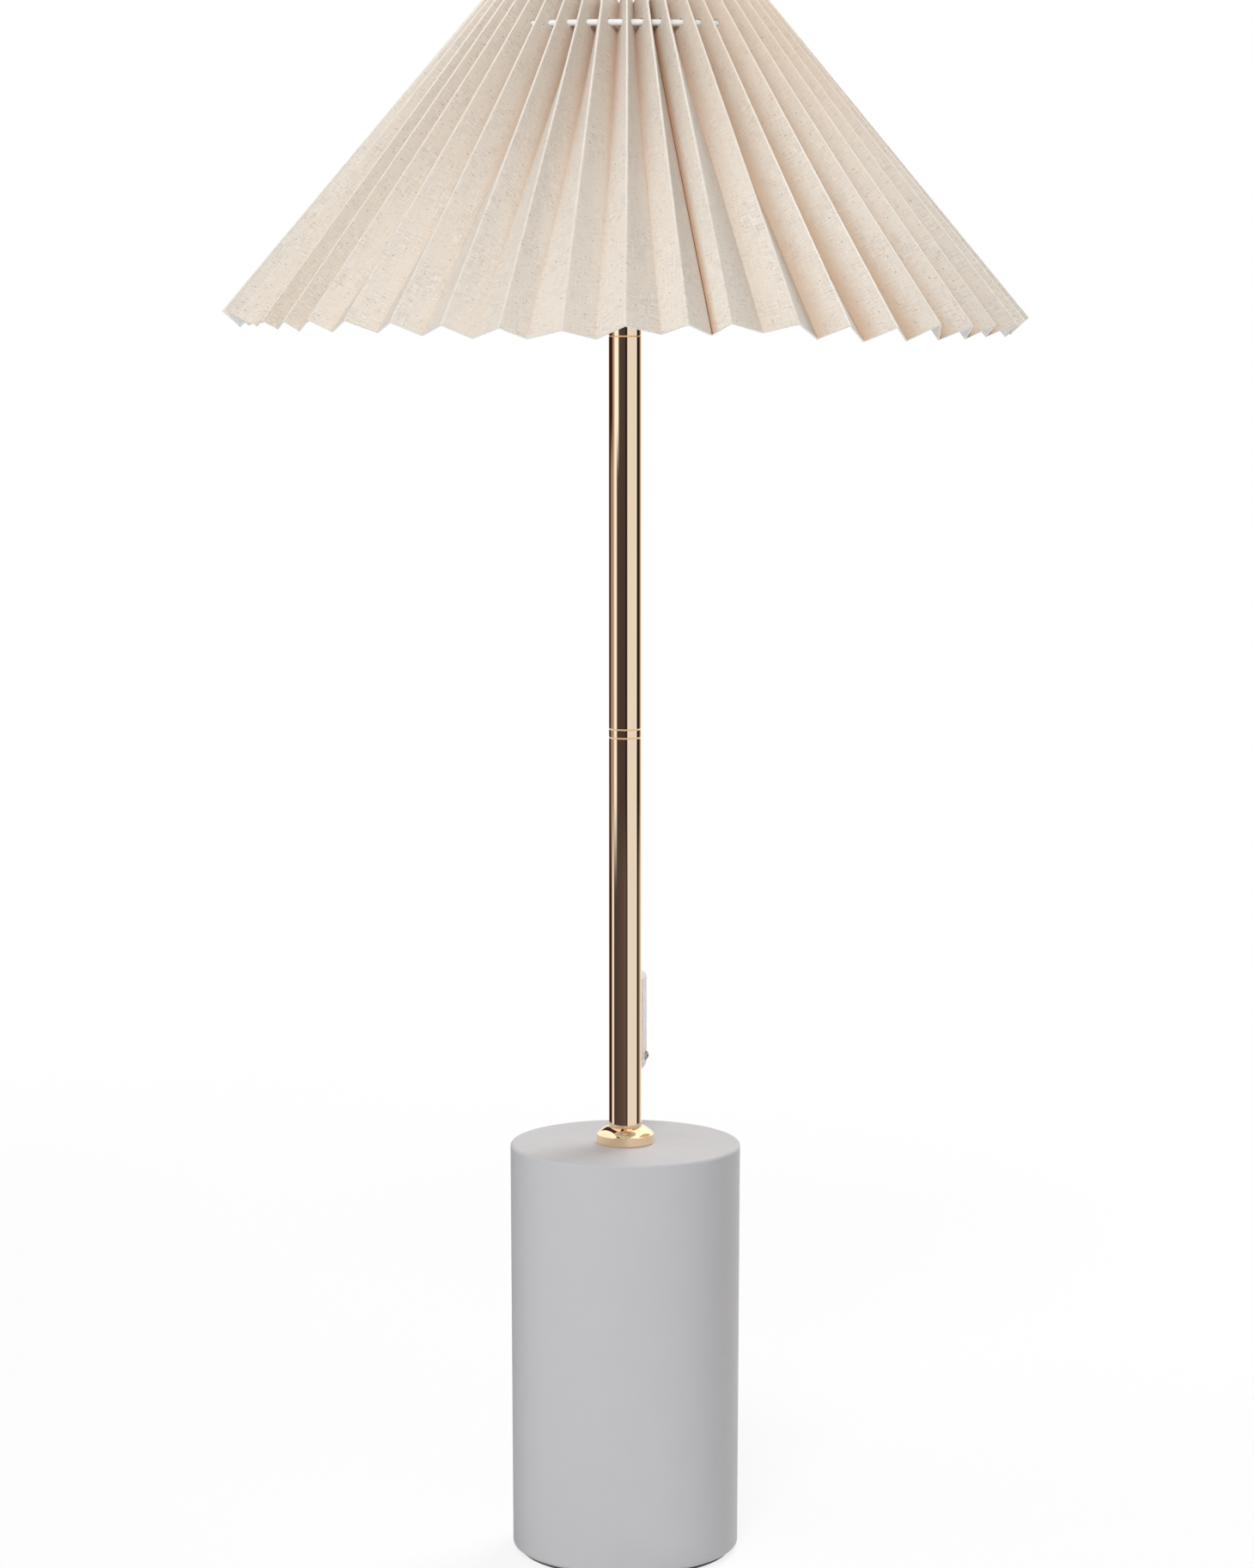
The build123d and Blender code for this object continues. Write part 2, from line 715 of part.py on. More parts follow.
# Two switch terminals on the saddle: the knife edge under the bar, and the contact above it
strip_low = wire_hole_z + wire_hole_d / 2 + strip_edge_gap
knife_top = bar_y - bar_t / 2 / cos(lean) - contact_gap
pad_top = bar_y - (contact_arm + contact_half) * tan(lean) - bar_t / 2 / cos(lean) - contact_gap
strip_mid = (strip_in + strip_out) / 2
tail_in = wire_offset - wire_d / 2
with BuildPart() as switch_terminals:
    with BuildSketch(rear.offset(split_y)):
        with Locations((strip_mid, (strip_low + switch_mid) / 2)):
            Rectangle(strip_out - strip_in, switch_mid - strip_low)
        with Locations(((tail_in + strip_out) / 2, strip_low + tail_h / 2)):
            Rectangle(strip_out - tail_in, tail_h)
    extrude(amount=strip_t)
    with BuildSketch(rear.offset(split_y)):
        with Locations(((strip_out - bar_w / 2) / 2, switch_mid)):
            Rectangle(strip_out + bar_w / 2, 2 * knife_half)
    extrude(amount=knife_top - split_y)
    with BuildSketch(rear.offset(split_y)):
        with Locations((-strip_mid, (strip_low + switch_mid + contact_arm) / 2)):
            Rectangle(strip_out - strip_in, switch_mid + contact_arm - strip_low)
        with Locations((-(tail_in + strip_out) / 2, strip_low + tail_h / 2)):
            Rectangle(strip_out - tail_in, tail_h)
    extrude(amount=strip_t)
    with BuildSketch(rear.offset(split_y)):
        with Locations((-(strip_out - bar_w / 2) / 2, switch_mid + contact_arm)):
            Rectangle(strip_out + bar_w / 2, 2 * contact_half)
    extrude(amount=pad_top - split_y)
switch_terminals.part.label = "switch_terminals"
export_step(switch_terminals.part, "parts/switch_terminals.step")

# Two cores from the lead through the back of the pole to the switch terminals
with BuildPart() as switch_cores:
    for side in (-1, 1):
        with BuildLine() as core_path:
            FilletPolyline(
                (side * wire_offset, lead_d / 2 + contact_gap, wire_hole_z),
                (side * wire_offset, wire_turn_y, wire_hole_z),
                (side * wire_offset, wire_turn_y, strip_low + tail_h),
                radius=wire_bend_r,
            )
        with BuildSketch(Plane(origin=core_path.line @ 0, z_dir=core_path.line % 0)):
            Circle(wire_d / 2)
        sweep(path=core_path.line)
switch_cores.part.label = "switch_cores"
export_step(switch_cores.part, "parts/switch_cores.step")

# Cap of the lampholder on the nipple, with a side screw that locks the thread
with BuildPart() as holder_cap:
    add(turned([
        (tapped_r, neck_top),
        (cap_bottom_d / 2 - cap_chamfer, neck_top),
        (cap_bottom_d / 2, neck_top + cap_chamfer),
        (cap_waist_d / 2, neck_top + cap_waist_h),
        (holder_d / 2, neck_top + cap_shoulder_h),
        (holder_d / 2, cap_top),
        (cap_inner_r, cap_top),
        (cap_inner_r, cap_inner_shoulder),
        (cap_inner_waist_r, boss_top),
        (tapped_r, boss_top),
    ]))
    revolve(axis=Axis.Z)
    with BuildSketch(rear):
        with Locations((0, neck_top + lock_screw_z)):
            Circle(lock_screw_d / 2 + screw_gap)
    extrude(amount=holder_d, mode=Mode.SUBTRACT)
holder_cap.part.label = "holder_cap"
export_step(holder_cap.part, "parts/holder_cap.step")

with BuildPart() as lock_screw:
    with BuildSketch(rear.offset(thread_r + contact_gap)):
        with Locations((0, neck_top + lock_screw_z)):
            Circle(lock_screw_d / 2)
    extrude(amount=cap_bottom_d / 2 - thread_r)
    with BuildSketch(rear.offset(cap_bottom_d / 2 + contact_gap - slot_depth)):
        with Locations((0, neck_top + lock_screw_z)):
            Rectangle(lock_screw_d, slot_w)
    extrude(amount=slot_depth, mode=Mode.SUBTRACT)
lock_screw.part.label = "lock_screw"
export_step(lock_screw.part, "parts/lock_screw.step")

# Sleeve of the lampholder, with the flange that carries the shade
with BuildPart() as holder_sleeve:
    add(turned([
        (sleeve_bore_d / 2, cap_top - sleeve_spigot_l),
        (cap_inner_r - thread_gap, cap_top - sleeve_spigot_l),
        (cap_inner_r - thread_gap, cap_top),
        (sleeve_flange_d / 2, cap_top),
        (sleeve_flange_d / 2, flange_top),
        (holder_d / 2, flange_top),
        (holder_d / 2, sleeve_top),
        (sleeve_lip_d / 2, sleeve_top),
        (sleeve_lip_d / 2, sleeve_top - sleeve_lip_t),
        (sleeve_bore_d / 2, sleeve_top - sleeve_lip_t),
    ]))
    revolve(axis=Axis.Z)
holder_sleeve.part.label = "holder_sleeve"
export_step(holder_sleeve.part, "parts/holder_sleeve.step")

# Ceramic core that stands on the cone inside the cap, with its two terminal screws below
with BuildPart() as holder_core:
    with BuildSketch(Plane.XY.offset(core_low)):
        Circle(core_block_d / 2)
    extrude(amount=core_block_h)
    with BuildSketch(Plane.XY.offset(core_low)):
        Circle(core_block_hole_d / 2)
    extrude(amount=core_block_hole_h, mode=Mode.SUBTRACT)
    with BuildSketch(Plane.XY.offset(core_low)):
        with GridLocations(2 * holder_screw_offset, 1, 2, 1):
            Circle(holder_screw_d / 2 + screw_gap)
    extrude(amount=holder_screw_l + free_gap, mode=Mode.SUBTRACT)
holder_core.part.label = "holder_core"
export_step(holder_core.part, "parts/holder_core.step")

with BuildPart() as holder_screws:
    with BuildSketch(Plane.XY.offset(core_low - holder_screw_head_h)):
        with GridLocations(2 * holder_screw_offset, 1, 2, 1):
            Circle(holder_screw_head_d / 2)
    extrude(amount=holder_screw_head_h)
    with BuildSketch(Plane.XY.offset(core_low)):
        with GridLocations(2 * holder_screw_offset, 1, 2, 1):
            Circle(holder_screw_d / 2)
    extrude(amount=holder_screw_l)
holder_screws.part.label = "holder_screws"
export_step(holder_screws.part, "parts/holder_screws.step")

# Two cores from the end of the lead out to the heads of the terminal screws
core_run_z = core_low - holder_screw_head_h - core_d / 2 - contact_gap
with BuildPart() as holder_cores:
    for side in (-1, 1):
        with BuildLine() as core_path:
            FilletPolyline(
                (side * core_offset, 0, lead_top),
                (side * core_offset, 0, core_run_z),
                (side * (holder_screw_offset + core_d), 0, core_run_z),
                radius=core_bend_r,
            )
        with BuildSketch(Plane(origin=core_path.line @ 0, z_dir=core_path.line % 0)):
            Circle(core_d / 2)
        sweep(path=core_path.line)
holder_cores.part.label = "holder_cores"
export_step(holder_cores.part, "parts/holder_cores.step")

# Screw shell of the lampholder and the sprung contact in the middle of its floor
with BuildPart() as screw_shell:
    add(turned([
        (shell_floor_hole_d / 2, core_top),
        (shell_neck_r + shell_t, core_top),
        (shell_neck_r + shell_t, core_top + shell_step_h - shell_t),
        (shell_bore_r + shell_t, core_top + shell_step_h),
        (shell_bore_r + shell_t, shell_top),
        (shell_bore_r, shell_top),
        (shell_bore_r, core_top + shell_step_h),
        (shell_neck_r, core_top + shell_step_h - shell_t),
        (shell_neck_r, core_top + shell_t),
        (shell_floor_hole_d / 2, core_top + shell_t),
    ]))
    revolve(axis=Axis.Z)
screw_shell.part.label = "screw_shell"
export_step(screw_shell.part, "parts/screw_shell.step")

tongue_top = core_top + tongue_rise
with BuildPart() as centre_contact:
    with BuildSketch(Plane.XZ):
        with BuildLine():
            Polyline(
                (-tongue_foot, core_top),
                (-tongue_heel, core_top),
                (tongue_peak, tongue_top - tongue_t),
                (tongue_foot, tongue_top - tongue_tip_drop - tongue_t),
                (tongue_foot, tongue_top - tongue_tip_drop),
                (tongue_peak, tongue_top),
                (-tongue_heel - tongue_t / 2, core_top + tongue_t),
                (-tongue_foot, core_top + tongue_t),
                close=True,
            )
        make_face()
    extrude(amount=tongue_w / 2, both=True)
centre_contact.part.label = "centre_contact"
export_step(centre_contact.part, "parts/centre_contact.step")

# Retaining ring on the sleeve, fluted for the fingers, just clear of the fitter ring
ring_low = fitter_top + ring_lift
ring_hub_low = ring_low + ring_flange_t
with BuildPart() as shade_ring:
    with BuildSketch(Plane.XY.offset(ring_low)):
        Circle(ring_flange_d / 2)
    extrude(amount=ring_flange_t)
    with BuildSketch(Plane.XY.offset(ring_hub_low)):
        Circle(ring_hub_d / 2)
        with PolarLocations(ring_hub_d / 2, ring_flutes):
            Circle(ring_flute_d / 2, mode=Mode.SUBTRACT)
    extrude(amount=ring_hub_h)
    with BuildSketch(Plane.XY.offset(ring_low)):
        Circle(holder_d / 2 + ring_gap)
    extrude(amount=ring_flange_t + ring_hub_h, mode=Mode.SUBTRACT)
shade_ring.part.label = "shade_ring"
export_step(shade_ring.part, "parts/shade_ring.step")

# Fitter ring of the shade, seated on the flange of the sleeve
with BuildPart() as fitter_ring:
    with BuildSketch(Plane.XY.offset(flange_top)):
        Circle(fitter_d / 2)
        Circle(fitter_bore_d / 2, mode=Mode.SUBTRACT)
    extrude(amount=fitter_t)
fitter_ring.part.label = "fitter_ring"
export_step(fitter_ring.part, "parts/fitter_ring.step")

# Wire rings of the shade frame: the lower one lies inside the valleys, the upper one runs
# through holes half way along the walls of the pleats
frame_ridge_r = fold_radius(ridge_low, ridge_high, frame_z)
frame_valley_r = fold_radius(valley_low, valley_high, frame_z)
valley_lean = (valley_low[0] - valley_high[0]) / (valley_high[1] - valley_low[1])
ring_to_valley = (frame_wire_r + contact_gap) * hypot(1, valley_lean)
lower_ring_r = frame_valley_r - fold_reach(frame_ridge_r, frame_valley_r, fabric_t / 2) - ring_to_valley
with BuildPart() as lower_ring:
    with Locations((0, 0, frame_z)):
        Torus(lower_ring_r, frame_wire_r)
lower_ring.part.label = "lower_ring"
export_step(lower_ring.part, "parts/lower_ring.step")

top_ridge_r = fold_radius(ridge_low, ridge_high, top_ring_z)
top_valley_r = fold_radius(valley_low, valley_high, top_ring_z)
top_ring_r = (top_ridge_r + top_valley_r) / 2
with BuildPart() as top_ring:
    with Locations((0, 0, top_ring_z)):
        Torus(top_ring_r, frame_wire_r)
top_ring.part.label = "top_ring"
export_step(top_ring.part, "parts/top_ring.step")

# Level arms from the fitter ring to the lower ring, cut to meet the wire
with BuildPart() as spider_arms:
    with Locations((0, 0, frame_z)):
        with PolarLocations(fitter_d / 2, arm_count, start_angle=first_arm_turn):
            Cylinder(
                arm_wire_d / 2,
                lower_ring_r - fitter_d / 2,
                rotation=(0, 90, 0),
                align=(Align.CENTER, Align.CENTER, Align.MIN),
            )
        Torus(lower_ring_r, frame_wire_r, mode=Mode.SUBTRACT)
spider_arms.part.label = "spider_arms"
export_step(spider_arms.part, "parts/spider_arms.step")

# Struts from the lower ring up inside the nearest ridges to the top ring, cut to meet both wires
with BuildPart() as shade_struts:
    for strut in range(strut_count):
        turn = first_ridge + 2 * fold_step * round(strut * pleats / strut_count)
        foot = Vector(lower_ring_r * cos(turn), lower_ring_r * sin(turn), frame_z)
        head = Vector(top_ring_r * cos(turn), top_ring_r * sin(turn), top_ring_z)
        with BuildSketch(Plane(origin=foot, z_dir=head - foot)):
            Circle(arm_wire_d / 2)
        extrude(amount=(head - foot).length)
    with Locations((0, 0, frame_z)):
        Torus(lower_ring_r, frame_wire_r, mode=Mode.SUBTRACT)
    with Locations((0, 0, top_ring_z)):
        Torus(top_ring_r, frame_wire_r, mode=Mode.SUBTRACT)
shade_struts.part.label = "shade_struts"
export_step(shade_struts.part, "parts/shade_struts.step")


def pleat_section(z, offset):
    """Closed zigzag of all the folds at height z, moved out from the cloth's middle by offset."""
    ridge = fold_radius(ridge_low, ridge_high, z)
    valley = fold_radius(valley_low, valley_high, z)
    shift = fold_reach(ridge, valley, offset)
    corners = []
    for fold in range(2 * pleats):
        radius = (ridge if fold % 2 == 0 else valley) + shift
        angle = first_ridge + fold * fold_step
        corners.append((radius * cos(angle), radius * sin(angle)))
    with BuildSketch(Plane.XY.offset(z)) as section:
        with BuildLine():
            Polyline(*corners, close=True)
        make_face()
    return section.sketch


def end_trim(valley_end, ridge_end, side):
    """Turned cutter beyond the line through two fold ends: side -1 below it, +1 above it."""
    slope = (ridge_end[1] - valley_end[1]) / (ridge_end[0] - valley_end[0])
    near = valley_end[0] - trim_reach
    far = ridge_end[0] + trim_reach
    near_z = valley_end[1] - slope * trim_reach
    far_z = ridge_end[1] + slope * trim_reach
    edge_z = max(near_z, far_z) + loft_margin if side > 0 else min(near_z, far_z) - loft_margin
    return turned([(near, near_z), (far, far_z), (far, edge_z), (near, edge_z)])


# Pleated cloth: outer zigzag less inner zigzag, trimmed square to the slant at both ends
section_heights = [
    valley_low[1] - loft_margin,
    ridge_low[1] + mid_section_rise,
    ridge_high[1] + loft_margin,
]
with BuildPart() as shade_fabric:
    for z in section_heights:
        add(pleat_section(z, fabric_t / 2))
    loft(ruled=True)
    for z in section_heights:
        add(pleat_section(z, -fabric_t / 2))
    loft(ruled=True, mode=Mode.SUBTRACT)
    add(end_trim(valley_low, ridge_low, -1))
    revolve(axis=Axis.Z, mode=Mode.SUBTRACT)
    add(end_trim(valley_high, ridge_high, 1))
    revolve(axis=Axis.Z, mode=Mode.SUBTRACT)
    with Locations((0, 0, top_ring_z)):
        Torus(top_ring_r, frame_wire_r + ring_hole_gap, mode=Mode.SUBTRACT)
shade_fabric.part.label = "shade_fabric"
export_step(shade_fabric.part, "parts/shade_fabric.step")
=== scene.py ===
import json
import math

import bpy
import numpy as np
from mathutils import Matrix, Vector


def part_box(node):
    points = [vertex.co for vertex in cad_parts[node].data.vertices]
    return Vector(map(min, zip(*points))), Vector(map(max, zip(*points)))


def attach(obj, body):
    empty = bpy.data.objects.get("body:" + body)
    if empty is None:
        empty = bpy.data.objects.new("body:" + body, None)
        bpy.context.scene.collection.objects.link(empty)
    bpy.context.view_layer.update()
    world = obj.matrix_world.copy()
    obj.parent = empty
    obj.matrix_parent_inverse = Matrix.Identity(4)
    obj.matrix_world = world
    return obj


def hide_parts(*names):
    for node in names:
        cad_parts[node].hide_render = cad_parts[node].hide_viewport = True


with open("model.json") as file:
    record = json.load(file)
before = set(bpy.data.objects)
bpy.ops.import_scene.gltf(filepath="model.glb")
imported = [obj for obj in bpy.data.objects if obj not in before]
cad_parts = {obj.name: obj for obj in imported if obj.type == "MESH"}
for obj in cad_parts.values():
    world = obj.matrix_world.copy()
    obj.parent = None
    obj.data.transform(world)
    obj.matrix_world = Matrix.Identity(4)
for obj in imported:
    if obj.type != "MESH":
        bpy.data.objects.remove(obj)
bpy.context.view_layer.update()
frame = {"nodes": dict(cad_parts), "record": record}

# Fabric table lamp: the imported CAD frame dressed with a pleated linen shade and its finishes.
# Metres, +Z up, the front of the lamp at -Y.

# The camera, and the ridge of the shade that faces it, are turned to the lamp's right by these
# degrees. FACING is the same direction counted from +X.
CAMERA_TURN = 9.0
FACING = CAMERA_TURN - 90

nodes = frame["nodes"]
scene = bpy.context.scene


def linear(red, green, blue):
    """Linear colour of an 8 bit sRGB colour."""
    parts = []
    for value in (red, green, blue):
        part = value / 255
        parts.append(part / 12.92 if part <= 0.04045 else ((part + 0.055) / 1.055) ** 2.4)
    return (*parts, 1.0)


# Shader building blocks
def new_material(name, color=None, **settings):
    """A material and its Principled shader, with the settings given by socket name."""
    material = bpy.data.materials.new(name)
    material.use_nodes = True
    shader = material.node_tree.nodes["Principled BSDF"]
    if color is not None:
        shader.inputs["Base Color"].default_value = color
    for key, value in settings.items():
        shader.inputs[key.replace("_", " ")].default_value = value
    return material, shader


def feed(tree, shader, **outputs):
    """Link each output to the shader's input of that name."""
    for key, output in outputs.items():
        tree.links.new(output, shader.inputs[key.replace("_", " ")])


def node(tree, kind, inputs=None, **properties):
    """A new node with its properties set and its sockets given a value or a link."""
    made = tree.nodes.new(kind)
    for key, value in properties.items():
        setattr(made, key, value)
    for key, value in (inputs or {}).items():
        if isinstance(value, bpy.types.NodeSocket):
            tree.links.new(value, made.inputs[key])
        else:
            made.inputs[key].default_value = value
    return made


def calculate(tree, operation, *values):
    """The result of a Math node on sockets or numbers."""
    return node(tree, "ShaderNodeMath", dict(enumerate(values)), operation=operation).outputs[0]


def times(tree, first, second):
    """first * second."""
    return calculate(tree, "MULTIPLY", first, second)


def straight(tree, value, factor, offset):
    """value * factor + offset."""
    return calculate(tree, "MULTIPLY_ADD", value, factor, offset)


def dot(tree, vector, axis):
    """How far the vector points along the axis."""
    return node(
        tree, "ShaderNodeVectorMath", {0: vector, 1: axis}, operation="DOT_PRODUCT"
    ).outputs["Value"]


def stretched(tree, vector, scale):
    """The vector scaled differently along each axis."""
    return node(
        tree, "ShaderNodeMapping", {"Vector": vector, "Scale": scale}, vector_type="POINT"
    ).outputs[0]


def noise(tree, vector, scale=1.0, detail=2.0, roughness=0.5, distortion=0.0):
    """The grey output of a noise texture."""
    inputs = {
        "Vector": vector,
        "Scale": scale,
        "Detail": detail,
        "Roughness": roughness,
        "Distortion": distortion,
    }
    return node(tree, "ShaderNodeTexNoise", inputs).outputs[0]


def between(tree, value, low, high):
    """0 below low and 1 above high, smooth between; high may be the smaller one."""
    inputs = {"Value": value, "From Min": low, "From Max": high}
    return node(tree, "ShaderNodeMapRange", inputs, interpolation_type="SMOOTHSTEP").outputs[0]


def blended(tree, factor, first, second):
    """The colour between first and second."""
    return node(tree, "ShaderNodeMix", {0: factor, 6: first, 7: second}, data_type="RGBA").outputs[2]


def spots(tree, vector, scale, rarity, rim, dimensions):
    """Small round spots in the few cells above the rarity, fading in over the rim distances."""
    inputs = {"Vector": vector, "Scale": scale, "Randomness": 1.0}
    cells = node(tree, "ShaderNodeTexVoronoi", inputs, voronoi_dimensions=dimensions)
    draw = node(tree, "ShaderNodeSeparateColor", {"Color": cells.outputs["Color"]}).outputs[0]
    chosen = calculate(tree, "GREATER_THAN", draw, rarity)
    return times(tree, chosen, between(tree, cells.outputs["Distance"], *rim))


def bumped(tree, shader, height, distance, strength):
    """Bump of that height, in metres, on the shader."""
    inputs = {"Height": height, "Distance": distance, "Strength": strength}
    feed(tree, shader, Normal=node(tree, "ShaderNodeBump", inputs).outputs[0])


def object_place(tree):
    """Position on the object, in metres."""
    return node(tree, "ShaderNodeTexCoord").outputs["Object"]


# Finishes
COLLAR_BLEND = 0.0003
RIM_BELOW_TOP = (0.0034, 0.0037)


def cement():
    """Fine matt cement with faint clouds, grit and a few pinholes."""
    material, shader = new_material("cement")
    tree = material.node_tree
    place = object_place(tree)
    clouds = noise(tree, place, scale=9.0, detail=3.0)
    mottle = noise(tree, place, scale=70.0, detail=4.0)
    grit = noise(tree, place, scale=1400.0)
    shade = blended(tree, clouds, linear(188, 188, 192), linear(194, 194, 197))
    shade = blended(tree, between(tree, mottle, 0.35, 0.7), shade, linear(190, 190, 194))
    shade = blended(tree, times(tree, grit, 0.12), shade, linear(160, 160, 164))
    pores = spots(tree, place, scale=45.0, rarity=0.82, rim=(0.032, 0.014), dimensions="3D")
    shade = blended(tree, times(tree, pores, 0.55), shade, linear(120, 120, 124))
    height = calculate(tree, "SUBTRACT", times(tree, grit, 0.25), pores)
    bumped(tree, shader, height, distance=0.0003, strength=0.6)
    feed(tree, shader, Base_Color=shade, Roughness=straight(tree, mottle, 0.12, 0.4))
    return material


def gold():
    """Polished light gold, warmer on the collar and less glossy on the collar's rim."""
    material, shader = new_material("gold", Metallic=1.0)
    tree = material.node_tree
    place = object_place(tree)
    drift = noise(tree, stretched(tree, place, (90.0, 90.0, 12.0)), detail=3.0)
    shade = blended(tree, drift, linear(229, 208, 182), linear(235, 215, 191))
    collar_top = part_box("base_collar")[1].z
    height = node(tree, "ShaderNodeSeparateXYZ", {0: place}).outputs[2]
    on_collar = between(tree, height, collar_top + COLLAR_BLEND, collar_top - COLLAR_BLEND)
    shade = blended(tree, on_collar, shade, linear(250, 222, 184))
    smear = noise(tree, stretched(tree, place, (600.0, 600.0, 60.0)))
    on_rim = between(tree, height, *(collar_top - drop for drop in RIM_BELOW_TOP))
    rough = straight(tree, on_rim, 0.16, straight(tree, smear, 0.03, 0.015))
    feed(tree, shader, Base_Color=shade, Roughness=rough)
    return material


def plain_metal(name, low, high, roughness):
    """A plain metal with a fine drift of colour and roughness."""
    material, shader = new_material(name, Metallic=1.0)
    tree = material.node_tree
    grain = noise(tree, object_place(tree), scale=900.0, detail=3.0)
    shade = blended(tree, grain, linear(*low), linear(*high))
    bumped(tree, shader, grain, distance=0.00002, strength=0.5)
    feed(tree, shader, Base_Color=shade, Roughness=straight(tree, grain, 0.16, roughness))
    return material


def moulded(name, low, high, roughness, grain_scale=1800.0, grain_height=0.00002, coat=0.0):
    """A moulded plastic, rubber or ceramic with a fine surface grain."""
    material, shader = new_material(name, Coat_Weight=coat)
    tree = material.node_tree
    place = object_place(tree)
    drift = noise(tree, place, scale=60.0, detail=3.0)
    grain = noise(tree, place, scale=grain_scale)
    shade = blended(tree, drift, linear(*low), linear(*high))
    bumped(tree, shader, grain, distance=grain_height, strength=0.6)
    feed(tree, shader, Base_Color=shade, Roughness=straight(tree, grain, 0.1, roughness))
    return material


def felt():
    """Pressed felt."""
    material, shader = new_material("felt", Roughness=1.0, Sheen_Weight=0.4)
    tree = material.node_tree
    fibre_place = stretched(tree, object_place(tree), (900.0, 2600.0, 900.0))
    fibres = noise(tree, fibre_place, detail=4.0, roughness=0.6, distortion=2.0)
    bumped(tree, shader, fibres, distance=0.0004, strength=0.8)
    feed(tree, shader, Base_Color=blended(tree, fibres, linear(74, 74, 77), linear(122, 122, 126)))
    return material


# Real sizes of the shade, as in the frame: where the folds end, from the axis and from the seat
# of the fitter ring, and the cloth between them
PLEATS = 46
FOLDS = 2 * PLEATS
RIDGE_TURN = math.radians(FACING)
CLOTH = 0.0008
RIDGE_DROP = 0.0224
RIDGE_RISE = 0.1550
VALLEY_DROP = 0.0292
VALLEY_RISE = 0.1509
seat_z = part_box("fitter_ring")[0].z
RIDGE_LOW = (0.1930, seat_z - RIDGE_DROP)
RIDGE_HIGH = (0.0635, seat_z - RIDGE_DROP + RIDGE_RISE)
VALLEY_LOW = (0.1848, seat_z - VALLEY_DROP)
VALLEY_HIGH = (0.0505, seat_z - VALLEY_DROP + VALLEY_RISE)
fold_step = math.pi / PLEATS
wall_l = math.dist(RIDGE_LOW, RIDGE_HIGH)
wall_w = math.dist(
    (RIDGE_LOW[0], 0, RIDGE_LOW[1]),
    (VALLEY_LOW[0] * math.cos(fold_step), VALLEY_LOW[0] * math.sin(fold_step), VALLEY_LOW[1]),
)

# Marks on the cloth, in metres from a fold or from the join: painted highlight on the ridges, painted
# shade in the valleys, painted shadow beside the join, and the dark ends of the join's threads. The right
# side, where the painted highlight and shade are strongest, is the part of the strip between the two pairs
# of places, counted across it from the join.
PAINTED_RIDGE_HIGHLIGHT = (0.0005, 0.0003)
RIGHT_FROM = (0.015, 0.09)
RIGHT_TO = (0.42, 0.36)
PAINTED_VALLEY_SHADE_W = 0.013
PAINTED_HIGH_VALLEY_SHADE = (0.012, 0.001)
PAINTED_CREASE_SHADE_W = 0.0045
JOIN_PAINTED_SHADOW = (0.008, 0.001)
JOIN_EDGE = (0.0017, 0.0013)
THREAD_PITCH = 0.0006
THREAD_END = (0.0001, 0.0003)


